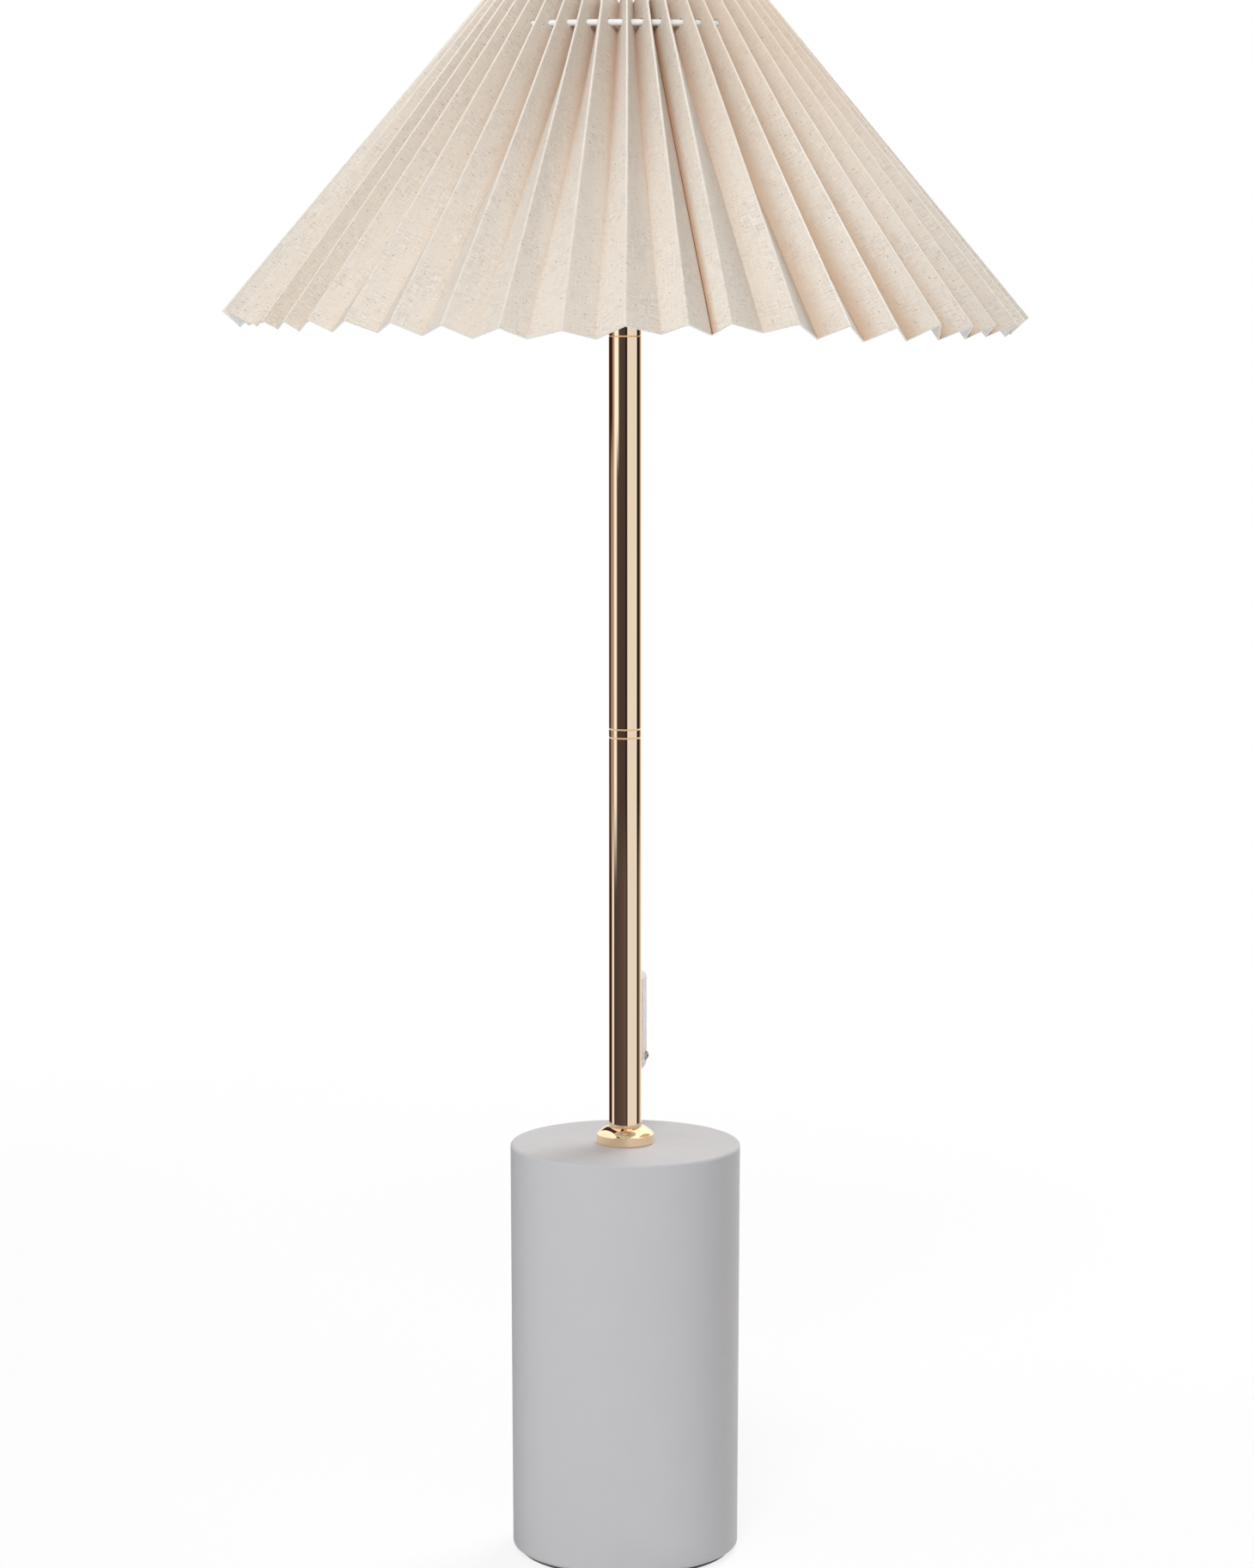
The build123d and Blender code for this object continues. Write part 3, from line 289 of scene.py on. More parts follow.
def linen():
    """Natural linen and cotton weave on the outside of the shade, with painted highlights on the ridges
    and painted shade in the valleys and beside the join.
    """
    material, shader = new_material("linen_weave", Roughness=0.9, Sheen_Weight=0.15, Sheen_Roughness=0.5)
    tree = material.node_tree
    cloth = node(tree, "ShaderNodeUVMap", uv_map="cloth").outputs[0]
    flat = node(tree, "ShaderNodeSeparateXYZ", {0: cloth})
    across, along = flat.outputs[0], flat.outputs[1]

    # Threads, uneven along their length
    weft = noise(tree, stretched(tree, cloth, (160.0, 1900.0, 1.0)), roughness=0.6)
    warp = noise(tree, stretched(tree, cloth, (1900.0, 120.0, 1.0)), roughness=0.6)
    threads = calculate(tree, "ADD", times(tree, weft, 0.6), times(tree, warp, 0.4))
    clouds = noise(tree, cloth, scale=55.0, detail=3.0)
    shade = blended(
        tree, between(tree, threads, 0.33, 0.67), linear(204, 193, 180), linear(235, 229, 220)
    )
    shade = blended(tree, between(tree, clouds, 0.3, 0.75), shade, linear(224, 215, 203))

    # Tan and pale slubs, and a few dark specks
    slubs = noise(tree, stretched(tree, cloth, (420.0, 1500.0, 1.0)), detail=1.0)
    shade = blended(tree, between(tree, slubs, 0.665, 0.74), shade, linear(188, 162, 136))
    pale = noise(tree, stretched(tree, cloth, (1300.0, 480.0, 1.0)), detail=1.0)
    shade = blended(tree, between(tree, pale, 0.70, 0.76), shade, linear(242, 239, 232))
    speck_place = stretched(tree, cloth, (150.0, 150.0, 1.0))
    specks = spots(tree, speck_place, scale=1.0, rarity=0.86, rim=(0.055, 0.03), dimensions="2D")
    shade = blended(tree, times(tree, specks, 0.8), shade, linear(92, 68, 48))

    # Painted highlight along the ridges of the folds, strongest on the right side and near the top
    from_valley = calculate(tree, "PINGPONG", across, wall_w)
    upper = straight(tree, between(tree, along, 0.2 * wall_l, wall_l), 0.5, 0.12)
    right = times(tree, between(tree, across, *RIGHT_FROM), between(tree, across, *RIGHT_TO))
    ridge_highlight = calculate(tree, "MAXIMUM", upper, times(tree, right, 0.85))
    at_ridge = between(tree, from_valley, *(wall_w - inside for inside in PAINTED_RIDGE_HIGHLIGHT))
    shade = blended(tree, times(tree, at_ridge, ridge_highlight), shade, linear(252, 247, 240))

    # Painted shade in the valleys, warm and darker: wide on the right side, more near the top, and narrow
    # along each crease
    wide_valley_shade = times(tree, between(tree, from_valley, PAINTED_VALLEY_SHADE_W, 0.0), times(tree, right, 0.8))
    shade = blended(tree, wide_valley_shade, shade, linear(203, 172, 142))
    high_up = times(tree, between(tree, along, 0.3 * wall_l, 0.95 * wall_l), 0.42)
    warm_upper_shade = times(tree, high_up, straight(tree, right, 0.75, 0.25))
    shade = blended(tree, warm_upper_shade, shade, linear(212, 186, 160))
    high_valley_shade = times(tree, between(tree, from_valley, *PAINTED_HIGH_VALLEY_SHADE), high_up)
    shade = blended(tree, high_valley_shade, shade, linear(190, 150, 118))
    crease_shade = straight(tree, between(tree, along, 0.0, wall_l), 0.4, 0.12)
    crease_shade = times(tree, between(tree, from_valley, PAINTED_CREASE_SHADE_W, 0.0), crease_shade)
    shade = blended(tree, crease_shade, shade, linear(208, 178, 150))

    # Painted shadow beside the join, and the dark ends of its threads
    from_join = calculate(tree, "ABSOLUTE", across)
    from_thread = calculate(tree, "PINGPONG", along, THREAD_PITCH)
    ends = times(tree, between(tree, from_join, *JOIN_EDGE), between(tree, from_thread, *THREAD_END))
    join_shadow = times(tree, between(tree, from_join, *JOIN_PAINTED_SHADOW), 0.85)
    shade = blended(tree, join_shadow, shade, linear(186, 142, 104))
    shade = blended(tree, ends, shade, linear(62, 42, 28))

    bumped(tree, shader, straight(tree, slubs, 0.5, threads), distance=0.00025, strength=0.8)
    feed(tree, shader, Base_Color=shade)
    return material


def laminate():
    """White backing on the inside of the shade."""
    material, shader = new_material("white_backing")
    tree = material.node_tree
    cloth = node(tree, "ShaderNodeUVMap", uv_map="cloth").outputs[0]
    weave = noise(tree, stretched(tree, cloth, (900.0, 900.0, 1.0)))
    drift = noise(tree, cloth, scale=30.0, detail=3.0)
    shade = blended(tree, drift, linear(232, 231, 228), linear(243, 242, 239))
    bumped(tree, shader, weave, distance=0.00006, strength=0.6)
    feed(tree, shader, Base_Color=shade, Roughness=straight(tree, weave, 0.15, 0.42))
    return material


finishes = {
    "cement": cement(),
    "felt": felt(),
    "steel": plain_metal("zinc_steel", (150, 152, 156), (190, 191, 194), 0.28),
    "gold": gold(),
    "lead_sheath": moulded("lead_sheath", (226, 223, 214), (236, 233, 225), 0.45),
    "white_plastic": moulded("white_plastic", (232, 229, 225), (238, 236, 232), 0.42),
    "white_gloss": moulded("white_gloss", (236, 236, 234), (242, 242, 240), 0.16, coat=0.3),
    "white_holder": moulded("white_holder", (232, 230, 226), (240, 238, 234), 0.3),
    "white_rubber": moulded("white_rubber", (216, 214, 209), (226, 224, 219), 0.7, 1200.0, 0.00005),
    "screw_steel": plain_metal("nickel_screw", (150, 146, 140), (176, 172, 165), 0.08),
    "brass": plain_metal("plain_brass", (196, 160, 92), (214, 178, 108), 0.24),
    "ceramic": moulded("ceramic", (230, 227, 218), (240, 237, 229), 0.55, 900.0, 0.00004),
    "shell_metal": plain_metal("shell_metal", (196, 197, 196), (216, 217, 216), 0.2),
    "white_wire": moulded("white_wire", (236, 236, 235), (244, 244, 243), 0.34, 700.0, 0.00004),
}
for part in frame["record"]["subparts"]:
    if part["material_slot"] in finishes:
        mesh = nodes[part["node"]].data
        mesh.materials.clear()
        mesh.materials.append(finishes[part["material_slot"]])

# Pleated cloth. Each fold is a line from a low to a high end. The strip's folds are counted from
# the join; front folds and angles are counted from the ridge that faces the camera.
# The cloth is hand pleated, so the lower ends of the front folds lie a little to one side of an even
# pitch (degrees, towards +X) and above or below an even rim (millimetres).
SEAM_FOLD = 3
FRONT_FOLDS = range(-19, 21)
FRONT_TURNS = [
    1.5, 2.0, -1.0, 2.5, -1.5, 1.0, -2.5, -1.0, -2.5, -1.5,
    -1.5, -1.5, -1.5, -1.5, -1.5, -1.0, -1.5, -0.5, 0.0, 0.0,
    1.0, 0.5, 0.0, -1.5, -0.5, 0.0, 0.0, 0.0, 0.0, 0.0,
    0.0, 0.5, -0.5, 0.0, -1.0, -0.5, -1.0, -0.5, 0.0, -2.0,
]
FRONT_RISES = [
    4.0, 0.5, 3.0, -1.0, 2.0, -1.0, 1.5, 0.0, 1.5, 0.0,
    1.5, -0.5, 0.5, -1.5, -0.5, -2.5, -0.5, -3.5, -0.5, -1.5,
    1.5, -1.0, 1.0, -0.5, 2.0, -1.0, -1.0, -2.0, -2.5, -3.0,
    -2.5, -2.0, -2.5, -3.0, -2.5, -3.0, -2.0, -2.5, -2.5, -2.0,
]

# How much the folds are off at random, as one standard deviation. The lists above take the place of
# the first two at the lower ends of the front folds.
LOW_TURN_SPREAD = math.radians(0.9)
RIM_SPREAD = 0.0009
HIGH_TURN_SPREAD = math.radians(0.5)
DEPTH_SPREAD = 0.0006
BOW_SPREAD = 0.00035

# The upper end of a fold follows this share of its lower end's turn. Away from the front folds, the
# rim sinks towards the camera's right.
HIGH_FOLLOWS = 0.35
RIM_LIFT = 0.0005
RIM_SINK = 0.0020

# The cloth is slack a little to the left of the ridge that faces the camera: there the valleys come
# out and the ridges go in
SLACK_CENTRE = math.radians(-6)
SLACK_WIDTH = math.radians(24)
SLACK_RIDGE = -0.0008
SLACK_VALLEY = 0.0030

rng = np.random.default_rng(7)
fold_index = np.arange(FOLDS + 1)
turn = (fold_index + SEAM_FOLD) * fold_step
turn = (turn + math.pi) % (2 * math.pi) - math.pi
is_ridge = (fold_index + SEAM_FOLD) % 2 == 0


def closed(values):
    """The same values with the first one again at the end, because the strip ends where it starts."""
    return np.append(values, values[0])


low_shift = rng.normal(0, LOW_TURN_SPREAD, FOLDS)
rim_rise = RIM_LIFT - RIM_SINK * np.sin(turn[:-1]) + rng.normal(0, RIM_SPREAD, FOLDS)
for fold, degrees, millimetres in zip(FRONT_FOLDS, FRONT_TURNS, FRONT_RISES):
    low_shift[(fold - SEAM_FOLD) % FOLDS] = math.radians(degrees)
    rim_rise[(fold - SEAM_FOLD) % FOLDS] = millimetres / 1000
low_shift = closed(low_shift)
rim_rise = closed(rim_rise)
high_shift = low_shift * HIGH_FOLLOWS + closed(rng.normal(0, HIGH_TURN_SPREAD, FOLDS))
depth = rng.normal(0, DEPTH_SPREAD, FOLDS)
slack = np.exp(-(((turn[:-1] - SLACK_CENTRE) / SLACK_WIDTH) ** 2))
depth += slack * np.where(is_ridge[:-1], SLACK_RIDGE, SLACK_VALLEY)
depth = closed(depth)
bow = rng.normal(0.0, BOW_SPREAD, FOLDS)

# Wire ring near the top, and the holes punched for it
ring_low, ring_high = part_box("top_ring")
RING_R = (ring_high.x - ring_low.x) / 2 - (ring_high.z - ring_low.z) / 2
RING_Z = (ring_high.z + ring_low.z) / 2
HOLE_R = 0.0023

# How far from its line a fold is rounded, at the top and how much more at the bottom
ROUND_TOP = 0.0004
ROUND_MORE = 0.0004


def fold_points(fold, v):
    """Points on the fold lines at v, 0 at the lower end and 1 at the upper end."""
    ridge = is_ridge[fold]
    low_r = np.where(ridge, RIDGE_LOW[0], VALLEY_LOW[0])
    high_r = np.where(ridge, RIDGE_HIGH[0], VALLEY_HIGH[0])
    low_z = np.where(ridge, RIDGE_LOW[1], VALLEY_LOW[1])
    high_z = np.where(ridge, RIDGE_HIGH[1], VALLEY_HIGH[1])
    ring_v = (RING_Z - low_z) / (high_z - low_z)
    below_ring = 1 - v / ring_v
    radius = low_r + (high_r - low_r) * v + depth[fold] * below_ring
    height = low_z + (high_z - low_z) * v + rim_rise[fold] * below_ring
    angle = RIDGE_TURN + turn[fold] + low_shift[fold] * (1 - v) + high_shift[fold] * v
    return radius, angle, height


def cloth_points(wall, u, v):
    """Points of the cloth on a wall, u across it from 0 to 1 and v up it, with rounded folds."""
    r0, a0, z0 = fold_points(wall, v)
    r1, a1, z1 = fold_points(wall + 1, v)
    start = np.stack([r0 * np.cos(a0), r0 * np.sin(a0), z0], -1)
    end = np.stack([r1 * np.cos(a1), r1 * np.sin(a1), z1], -1)
    points = start + (end - start) * u[..., None]
    half_pitch = (r0 + r1) / 2 * fold_step
    slope = np.abs(r0 - r1) / half_pitch
    rounding = ROUND_TOP + ROUND_MORE * (1 - v)
    for near, ridge in ((u, is_ridge[wall]), (1 - u, is_ridge[wall + 1])):
        x = near * half_pitch
        gap = np.clip(rounding - x, 0, None)
        shift = slope * gap**2 / (2 * rounding) * np.where(ridge, -1, 1)
        angle = a0 + (a1 - a0) * u
        points[..., 0] += shift * np.cos(angle)
        points[..., 1] += shift * np.sin(angle)
    return points


def wall_bow(wall, u, v):
    """How far the wall bows out between its folds."""
    return bow[wall % FOLDS] * np.sin(np.pi * u) * np.sin(np.pi * np.clip(v * 1.1, 0, 1))


def off_ring(wall, u, v):
    """How far a point of the wall lies outside and above the middle of the wire."""
    x, y, z = cloth_points(np.array([wall]), np.array([u]), np.array([v]))[0]
    return np.array([math.hypot(x, y) - RING_R, z - RING_Z])


def hole_place(wall):
    """Where the wire ring passes through the wall, as (u, v), by Newton's method."""
    u, v = 0.5, 0.9
    nudge = 0.01
    for _ in range(12):
        off = off_ring(wall, u, v)
        by_u = (off_ring(wall, u + nudge, v) - off) / nudge
        by_v = (off_ring(wall, u, v + nudge) - off) / nudge
        step = np.linalg.solve(np.stack([by_u, by_v], 1), off)
        u, v = u - step[0], v - step[1]
    return u, v


# Grid of the strip: columns across each wall, and rows below, at and above the holes. The square
# of columns HOLE_U and rows HOLE_V in each wall gives way to its hole.
U_CUTS = np.array([
    0, 0.018, 0.04, 0.07, 0.12, 0.2, 0.29, 0.395, 0.5, 0.605, 0.71, 0.8, 0.88, 0.93, 0.96, 0.982,
])
COLUMNS = len(U_CUTS)
ROWS_BELOW, ROWS_AT, ROWS_ABOVE = 30, 4, 5
HOLE_U = (6, 10)
HOLE_V = (ROWS_BELOW, ROWS_BELOW + ROWS_AT)
PATCH_V = 0.017


def strip_grid():
    """The wall, u and v of every point of the grid, by row and column."""
    hole_v = np.mean([hole_place(wall)[1] for wall in range(0, FOLDS, 7)])
    low, high = hole_v - PATCH_V, hole_v + PATCH_V
    v_cuts = np.concatenate([
        np.linspace(0, low, ROWS_BELOW + 1),
        np.linspace(low, high, ROWS_AT + 1)[1:],
        np.linspace(high, 1, ROWS_ABOVE + 1)[1:],
    ])
    wall = np.append(np.repeat(np.arange(FOLDS), COLUMNS), FOLDS - 1)
    u = np.append(np.tile(U_CUTS, FOLDS), 1.0)
    walls, vs = np.broadcast_arrays(wall[None, :], v_cuts[:, None])
    return walls, np.broadcast_to(u[None, :], walls.shape), vs


def middle_points(walls, us, vs):
    """The middle of the cloth at every point of the grid, and its normals."""
    middle = cloth_points(walls, us, vs)
    across = np.roll(middle, -1, 1) - np.roll(middle, 1, 1)
    across[:, 0] = across[:, -1] = middle[:, 1] - middle[:, -2]
    normals = np.cross(across, np.gradient(middle, axis=0))
    normals /= np.linalg.norm(normals, axis=-1, keepdims=True)
    middle += normals * wall_bow(walls, us, vs)[..., None]
    return middle, normals


def square_round(wall, index):
    """The grid's points round the square of the wall's hole, in order."""
    left, right = wall * COLUMNS + HOLE_U[0], wall * COLUMNS + HOLE_U[1]
    low, high = HOLE_V
    loop = [index[low, x] for x in range(left, right)] + [index[y, right] for y in range(low, high)]
    loop += [index[high, x] for x in range(right, left, -1)]
    loop += [index[y, left] for y in range(high, low, -1)]
    return loop


def punched_holes(index, flat, normals):
    """Round holes: points, normals and flat places of their edges, the faces that join each grid
    square to its circle, and the circles."""
    points, point_normals, places, faces, circles = [], [], [], [], []
    for wall in range(FOLDS):
        hole_u, hole_v = hole_place(wall)
        loop = square_round(wall, index)
        count = len(loop)
        first = index.size + len(points)
        towards = flat[loop] - np.array([(wall + hole_u) * wall_w, hole_v * wall_l])
        bearing = np.arctan2(towards[:, 1], towards[:, 0])
        us = hole_u + HOLE_R * np.cos(bearing) / wall_w
        vs = hole_v + HOLE_R * np.sin(bearing) / wall_l
        walls = np.full(count, wall)
        normal = normals[sum(HOLE_V) // 2, wall * COLUMNS + sum(HOLE_U) // 2]
        points.extend(cloth_points(walls, us, vs) + normal * wall_bow(walls, us, vs)[:, None])
        point_normals.extend([normal] * count)
        places.extend(np.stack([(wall + us) * wall_w, vs * wall_l], 1))
        circle = [first + k for k in range(count)]
        circles.append(circle)
        for k in range(count):
            n = (k + 1) % count
            faces.append((loop[k], loop[n], circle[n], circle[k]))
    return (*map(np.array, (points, point_normals, places, faces)), circles)


def edge_faces(index, circles, side_count):
    """The faces that join the two sides along the strip's borders and round its holes."""
    faces = []
    for border in (index[0, ::-1], index[-1], index[:, 0], index[::-1, -1]):
        for one, two in zip(border[:-1], border[1:]):
            faces.append((one, two, two + side_count, one + side_count))
    for circle in circles:
        for one, two in zip(circle, circle[1:] + circle[:1]):
            faces.append((one, one + side_count, two + side_count, two))
    return faces


def build_cloth():
    """The pleated strip: a shell of the cloth's thickness, open only at the punched holes."""
    walls, us, vs = strip_grid()
    middle, normals = middle_points(walls, us, vs)
    rows, total = middle.shape[:2]
    flat = np.stack([(walls + us) * wall_w, vs * wall_l], -1).reshape(-1, 2)
    index = np.arange(rows * total).reshape(rows, total)

    is_square = np.zeros((rows - 1, total - 1), bool)
    for wall in range(FOLDS):
        first = wall * COLUMNS
        is_square[HOLE_V[0]:HOLE_V[1], first + HOLE_U[0]:first + HOLE_U[1]] = True
    corners = (index[:-1, :-1], index[:-1, 1:], index[1:, 1:], index[1:, :-1])
    quads = np.stack(corners, -1)[~is_square]
    hole_points, hole_normals, hole_flat, hole_quads, circles = punched_holes(index, flat, normals)

    # The outer side, the inner side and the edges between them
    side_points = np.concatenate([middle.reshape(-1, 3), hole_points])
    half_cloth = np.concatenate([normals.reshape(-1, 3), hole_normals]) * CLOTH / 2
    points = np.concatenate([side_points + half_cloth, side_points - half_cloth])
    side_flat = np.concatenate([flat, hole_flat])
    uv = np.concatenate([side_flat, side_flat])
    side_count = len(side_points)
    outer = np.concatenate([quads, hole_quads])
    inner = outer[:, ::-1] + side_count
    edges = edge_faces(index, circles, side_count)
    faces = np.concatenate([outer, inner, np.array(edges)])

    mesh = bpy.data.meshes.new("pleated_cloth")
    mesh.from_pydata(points.tolist(), [], faces.tolist())
    slots = np.ones(len(faces), np.int32)
    slots[:len(outer)] = 0
    mesh.polygons.foreach_set("material_index", slots)
    smooth = np.ones(len(faces), bool)
    smooth[len(outer) + len(inner):] = False
    mesh.polygons.foreach_set("use_smooth", smooth)
    layer = mesh.uv_layers.new(name="cloth")
    corner = np.empty(len(mesh.loops), np.int32)
    mesh.loops.foreach_get("vertex_index", corner)
    layer.data.foreach_set("uv", uv[corner].astype(np.float32).ravel())
    rim = {frozenset(pair) for quad in edges for pair in zip(quad, quad[1:] + quad[:1])}
    for edge in mesh.edges:
        if frozenset(edge.vertices) in rim:
            edge.use_edge_sharp = True
    mesh.validate()
    mesh.update()
    return mesh


cloth = bpy.data.objects.new("pleated_shade", build_cloth())
scene.collection.objects.link(cloth)
cloth.data.materials.append(linen())
cloth.data.materials.append(laminate())
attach(cloth, "shade")
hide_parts("shade_fabric")

# Floor: matt and pale. The camera sees it mixed with white, so that only a soft shadow shows near
# the lamp and nothing beyond the fade.
FLOOR_HALF = 8.0
FLOOR_FADE = (0.7, 1.5)
FLOOR_WHITE = 0.8
FLOOR_MORE_WHITE = 0.2


def build_floor():
    """The floor, hidden from glossy rays."""
    mesh = bpy.data.meshes.new("floor")
    corners = [(-1, -1), (1, -1), (1, 1), (-1, 1)]
    mesh.from_pydata([(x * FLOOR_HALF, y * FLOOR_HALF, 0) for x, y in corners], [], [(0, 1, 2, 3)])
    material, shader = new_material("pale_floor", linear(244, 244, 244), Roughness=0.9)
    tree = material.node_tree
    rays = node(tree, "ShaderNodeLightPath")
    white = node(tree, "ShaderNodeEmission", {"Color": (1, 1, 1, 1), "Strength": 1.0})
    place = object_place(tree)
    from_lamp = node(tree, "ShaderNodeVectorMath", {0: place}, operation="LENGTH").outputs["Value"]
    whiteness = straight(tree, between(tree, from_lamp, *FLOOR_FADE), FLOOR_MORE_WHITE, FLOOR_WHITE)
    seen = times(tree, rays.outputs["Is Camera Ray"], whiteness)
    mixed = node(tree, "ShaderNodeMixShader", {0: seen, 1: shader.outputs[0], 2: white.outputs[0]})
    tree.links.new(mixed.outputs[0], tree.nodes["Material Output"].inputs[0])
    mesh.materials.append(material)
    made = bpy.data.objects.new("floor", mesh)
    scene.collection.objects.link(made)
    made.visible_glossy = False
    return made


floor = build_floor()

# World. The camera and transmission rays see plain white. Diffuse rays see a room that is brighter
# on the lamp's left front. Glossy rays see the dark and light walls of a studio, given as (degrees,
# level, tone) and counted from the camera's side towards the right. OVERHEAD runs from -180 at the
# camera's left to 180 at its right.
WHITE = (1.0, 1.0, 1.0)
BROWN = (1.0, 0.74, 0.68)
TAN = (1.0, 0.74, 0.56)
RUST = (1.0, 0.36, 0.18)
STUDIO_RIGHT = [
    (0, 0.075, BROWN), (4, 0.02, BROWN), (12, 0.02, BROWN), (18, 1.08, WHITE), (26, 1.0, WHITE),
    (76, 0.98, WHITE), (84, 1.2, WHITE), (91, 0.02, BROWN), (112, 0.03, BROWN), (122, 0.2, TAN),
    (134, 0.8, TAN), (146, 1.2, WHITE), (180, 1.2, WHITE),
]
STUDIO_HIGH = [
    (-180, 0.95, TAN), (-160, 0.7, TAN), (-150, 0.05, RUST), (-104, 0.045, RUST), (-96, 0.5, TAN),
    (-84, 0.55, TAN), (-78, 1.2, WHITE), (-52, 1.35, WHITE), (-44, 0.1, BROWN),
] + STUDIO_RIGHT
STUDIO_MID = [
    (-180, 0.95, TAN), (-160, 0.7, TAN), (-152, 0.04, RUST), (-126, 0.035, RUST), (-119, 0.46, TAN),
    (-90, 0.52, TAN), (-84, 1.1, WHITE), (-66, 1.3, WHITE), (-60, 0.15, BROWN), (-55, 0.085, BROWN),
] + STUDIO_RIGHT
STUDIO_LOW = [
    (-180, 0.7, TAN), (-160, 0.5, TAN), (-150, 0.05, RUST), (-112, 0.06, RUST), (-104, 1.05, WHITE),
    (-92, 1.25, WHITE), (-84, 0.08, BROWN), (-20, 0.12, BROWN), (4, 0.15, TAN), (10, 0.06, BROWN),
    (14, 0.08, BROWN), (20, 1.12, WHITE), (28, 1.0, WHITE),
    (76, 0.98, WHITE), (84, 1.2, WHITE), (92, 0.04, BROWN), (106, 0.05, BROWN), (116, 0.4, TAN),
    (128, 0.7, TAN), (144, 1.1, WHITE), (180, 1.2, WHITE),
]
OVERHEAD = [
    (-180, 0.9, WHITE), (-110, 1.2, WHITE), (-78, 1.3, WHITE), (-70, 0.05, BROWN),
    (-30, 0.04, BROWN), (-24, 0.8, TAN), (26, 0.85, TAN), (34, 1.4, WHITE), (104, 1.4, WHITE),
    (116, 0.6, TAN), (180, 1.0, WHITE),
]
ABOVE_LEVEL = (1.15, 1.1, 1.04, 1)
UNDERNEATH = (0.95, 0.93, 0.9, 1)

# Heights, as the rise of the ray, over which one wall gives way to the next
LOW_WALL = (-0.125, -0.15)
HIGH_WALL = (-0.055, -0.04)
BRIGHT_ABOVE = (0.0, 0.012)
OVERHEAD_FROM = (0.22, 0.3)
UNDERNEATH_FROM = (-0.35, -0.55)

# The room's brighter side, from the camera's side, and how its light falls off
LIT_TURN = -35
LIT_RISE = 0.1
ROOM_FADE = (-0.2, 0.92)
ROOM_GAIN = 0.97
ROOM_LEAST = 0.05
TONE_FADE = (-0.7, 0.5)
WARM_SIDE = (1.0, 0.86, 0.70, 1)
PLAIN_WHITE = (1.0, 1.0, 1.0, 1)


def studio_wall(tree, place, levels):
    """The colour of a studio wall at a place from 0 to 1 along it, -180 to 180 in the levels."""
    ramp = node(tree, "ShaderNodeValToRGB", {0: place})
    stops = ramp.color_ramp.elements
    for degrees, level, tone in levels:
        stop = {-180: stops[0], 180: stops[-1]}.get(degrees) or stops.new((degrees + 180) / 360)
        stop.color = (*(level * part for part in tone), 1)
    return ramp.outputs[0]


def studio_colour(tree, direction):
    """What glossy rays see in a direction."""
    parts = node(tree, "ShaderNodeSeparateXYZ", {0: direction}).outputs
    compass = calculate(tree, "ARCTAN2", parts[1], parts[0])
    compass = calculate(tree, "SUBTRACT", compass, math.radians(FACING))
    compass = calculate(tree, "WRAP", compass, math.pi, -math.pi)
    place = straight(tree, compass, 1 / (2 * math.pi), 0.5)
    rise = parts[2]
    low, mid, high = (studio_wall(tree, place, levels) for levels in (STUDIO_LOW, STUDIO_MID, STUDIO_HIGH))
    walls = blended(tree, between(tree, rise, *LOW_WALL), mid, low)
    walls = blended(tree, between(tree, rise, *HIGH_WALL), walls, high)
    walls = blended(tree, between(tree, rise, *BRIGHT_ABOVE), walls, ABOVE_LEVEL)
    camera_right = (math.cos(math.radians(CAMERA_TURN)), math.sin(math.radians(CAMERA_TURN)), 0.0)
    overhead = studio_wall(tree, straight(tree, dot(tree, direction, camera_right), 0.5, 0.5), OVERHEAD)
    walls = blended(tree, between(tree, rise, *OVERHEAD_FROM), walls, overhead)
    return blended(tree, between(tree, rise, *UNDERNEATH_FROM), walls, UNDERNEATH)


def build_world():
    """The studio, with a background of its own for each kind of ray."""
    world = bpy.data.worlds.new("studio")
    world.use_nodes = True
    tree = world.node_tree
    tree.nodes.clear()
    rays = node(tree, "ShaderNodeLightPath").outputs
    direction = node(tree, "ShaderNodeTexCoord").outputs["Generated"]
    lit_side = math.radians(FACING + LIT_TURN)
    towards = dot(tree, direction, (math.cos(lit_side), math.sin(lit_side), LIT_RISE))
    level = straight(tree, between(tree, towards, *ROOM_FADE), ROOM_GAIN, ROOM_LEAST)
    tone = blended(tree, between(tree, towards, *TONE_FADE), WARM_SIDE, PLAIN_WHITE)
    room = node(tree, "ShaderNodeBackground", {"Color": tone, "Strength": level})
    seen = node(tree, "ShaderNodeBackground", {"Color": PLAIN_WHITE, "Strength": 1.0})
    colour = studio_colour(tree, direction)
    studio = node(tree, "ShaderNodeBackground", {"Color": colour, "Strength": 1.0})
    lighting = node(tree, "ShaderNodeMixShader", {
        0: rays["Is Glossy Ray"], 1: room.outputs[0], 2: studio.outputs[0],
    })
    plain = calculate(tree, "MAXIMUM", rays["Is Camera Ray"], rays["Is Transmission Ray"])
    last = node(tree, "ShaderNodeMixShader", {0: plain, 1: lighting.outputs[0], 2: seen.outputs[0]})
    tree.links.new(last.outputs[0], node(tree, "ShaderNodeOutputWorld").inputs[0])
    return world


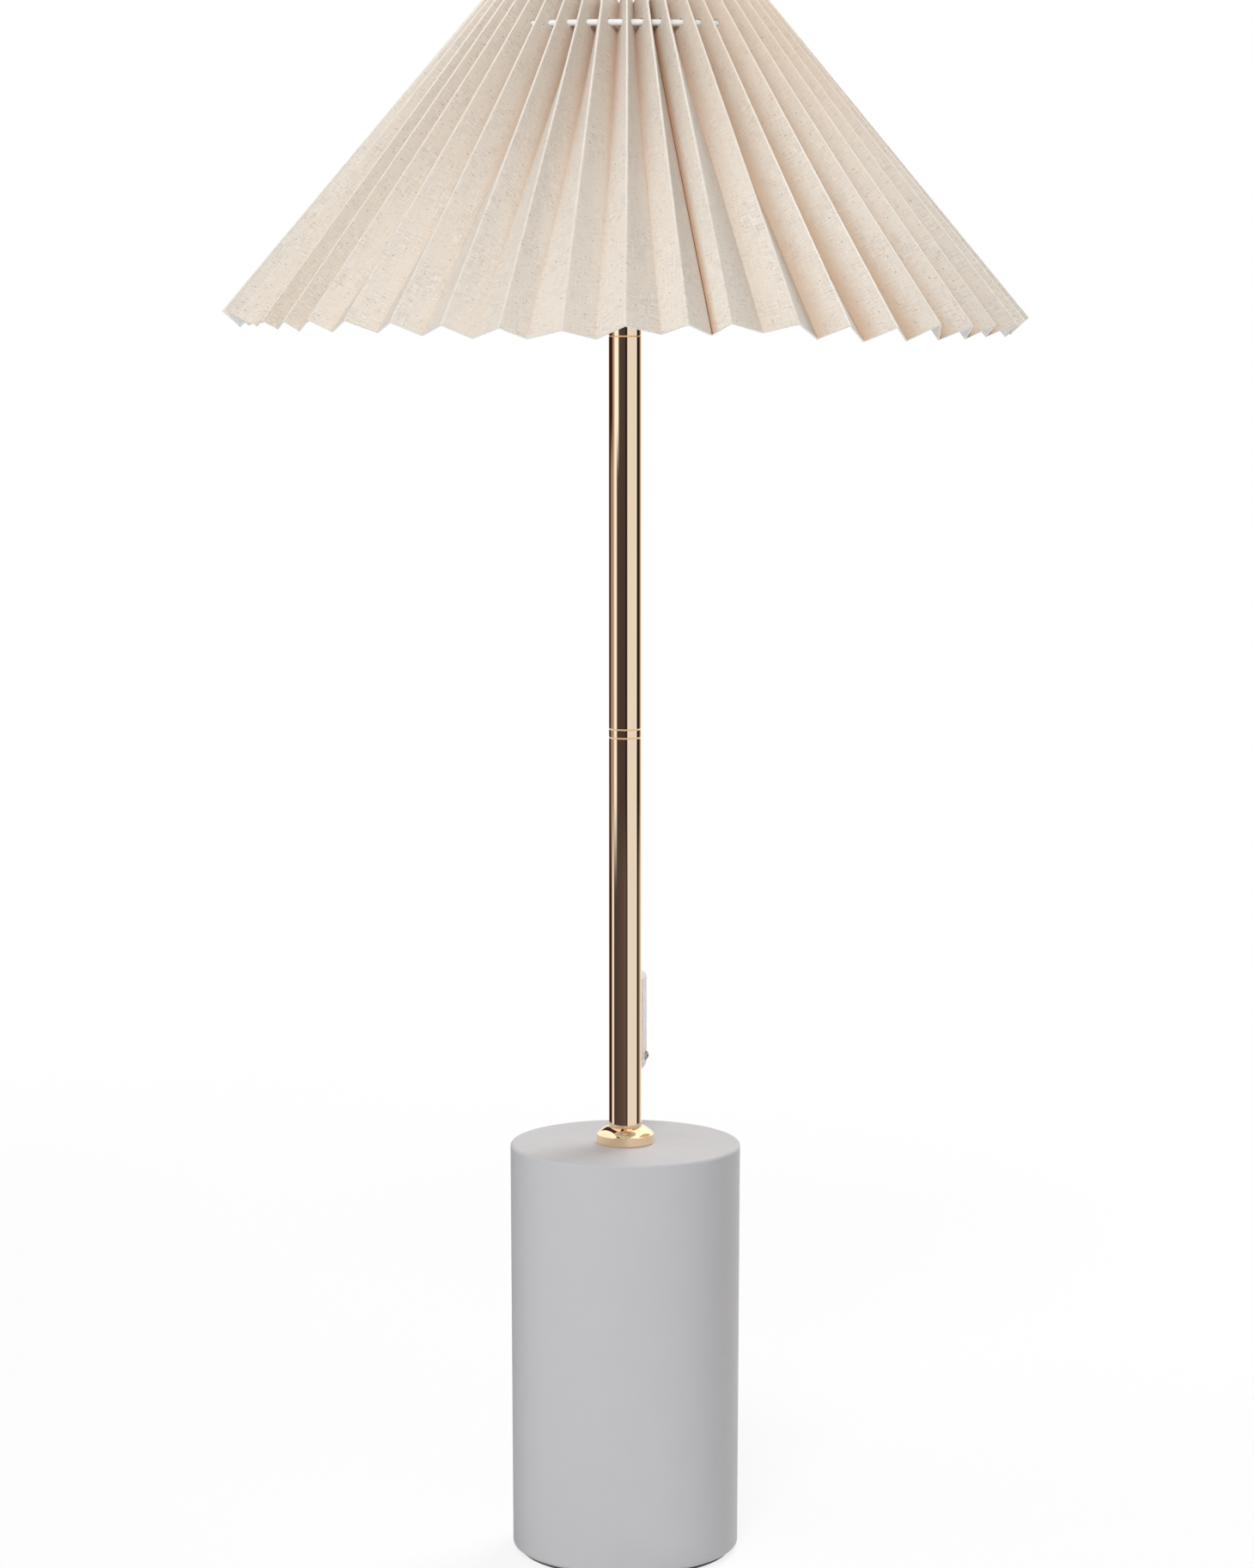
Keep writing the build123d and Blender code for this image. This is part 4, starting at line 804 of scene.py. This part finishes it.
scene.world = build_world()


def softbox(name, side_turn, elevation, distance, size, power, aim):
    """An area light, turned in degrees from the camera's side towards the right."""
    light = bpy.data.lights.new(name, "AREA")
    light.shape = "RECTANGLE"
    light.size, light.size_y = size
    light.energy = power
    turned = math.radians(FACING + side_turn)
    raised = math.radians(elevation)
    flat_way = math.cos(raised)
    way = Vector((math.cos(turned) * flat_way, math.sin(turned) * flat_way, math.sin(raised)))
    lamp = bpy.data.objects.new(name, light)
    lamp.location = aim + distance * way
    lamp.rotation_mode = "QUATERNION"
    lamp.rotation_quaternion = (aim - lamp.location).to_track_quat("-Z", "Y")
    lamp.visible_glossy = False
    scene.collection.objects.link(lamp)


centre = Vector((0, 0, 0.5))
foot = Vector((0, 0, 0.1))
softbox("key", side_turn=-9, elevation=38, distance=2.6, size=(0.6, 0.6), power=26.5, aim=centre)
softbox("side", side_turn=95, elevation=8, distance=3.0, size=(0.8, 1.6), power=3, aim=foot)
softbox("back", side_turn=150, elevation=50, distance=2.6, size=(1.2, 1.2), power=43, aim=foot)

# Camera: in front of the axis, turned to the lamp's right, above the top of the base and tilted down
CAMERA_DISTANCE = 2.1
CAMERA_RISE = 0.441
CAMERA_TILT = 7.145
CAMERA_SIDE = 0.00084
PHOTO_H = 1826
FOCAL_PX = 5058
camera = bpy.data.objects.new("camera", bpy.data.cameras.new("camera"))
camera.data.sensor_fit = "AUTO"
camera.data.sensor_width = 36
camera.data.lens = FOCAL_PX / PHOTO_H * camera.data.sensor_width
yaw = math.radians(CAMERA_TURN)
base_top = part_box("base_body")[1].z
camera.location = (
    CAMERA_DISTANCE * math.sin(yaw) + CAMERA_SIDE * math.cos(yaw),
    -CAMERA_DISTANCE * math.cos(yaw) + CAMERA_SIDE * math.sin(yaw),
    base_top + CAMERA_RISE,
)
camera.rotation_euler = (math.radians(90 - CAMERA_TILT), 0, yaw)
camera.data.clip_start = 0.05
scene.collection.objects.link(camera)
scene.camera = camera
scene.view_settings.view_transform = "Standard"
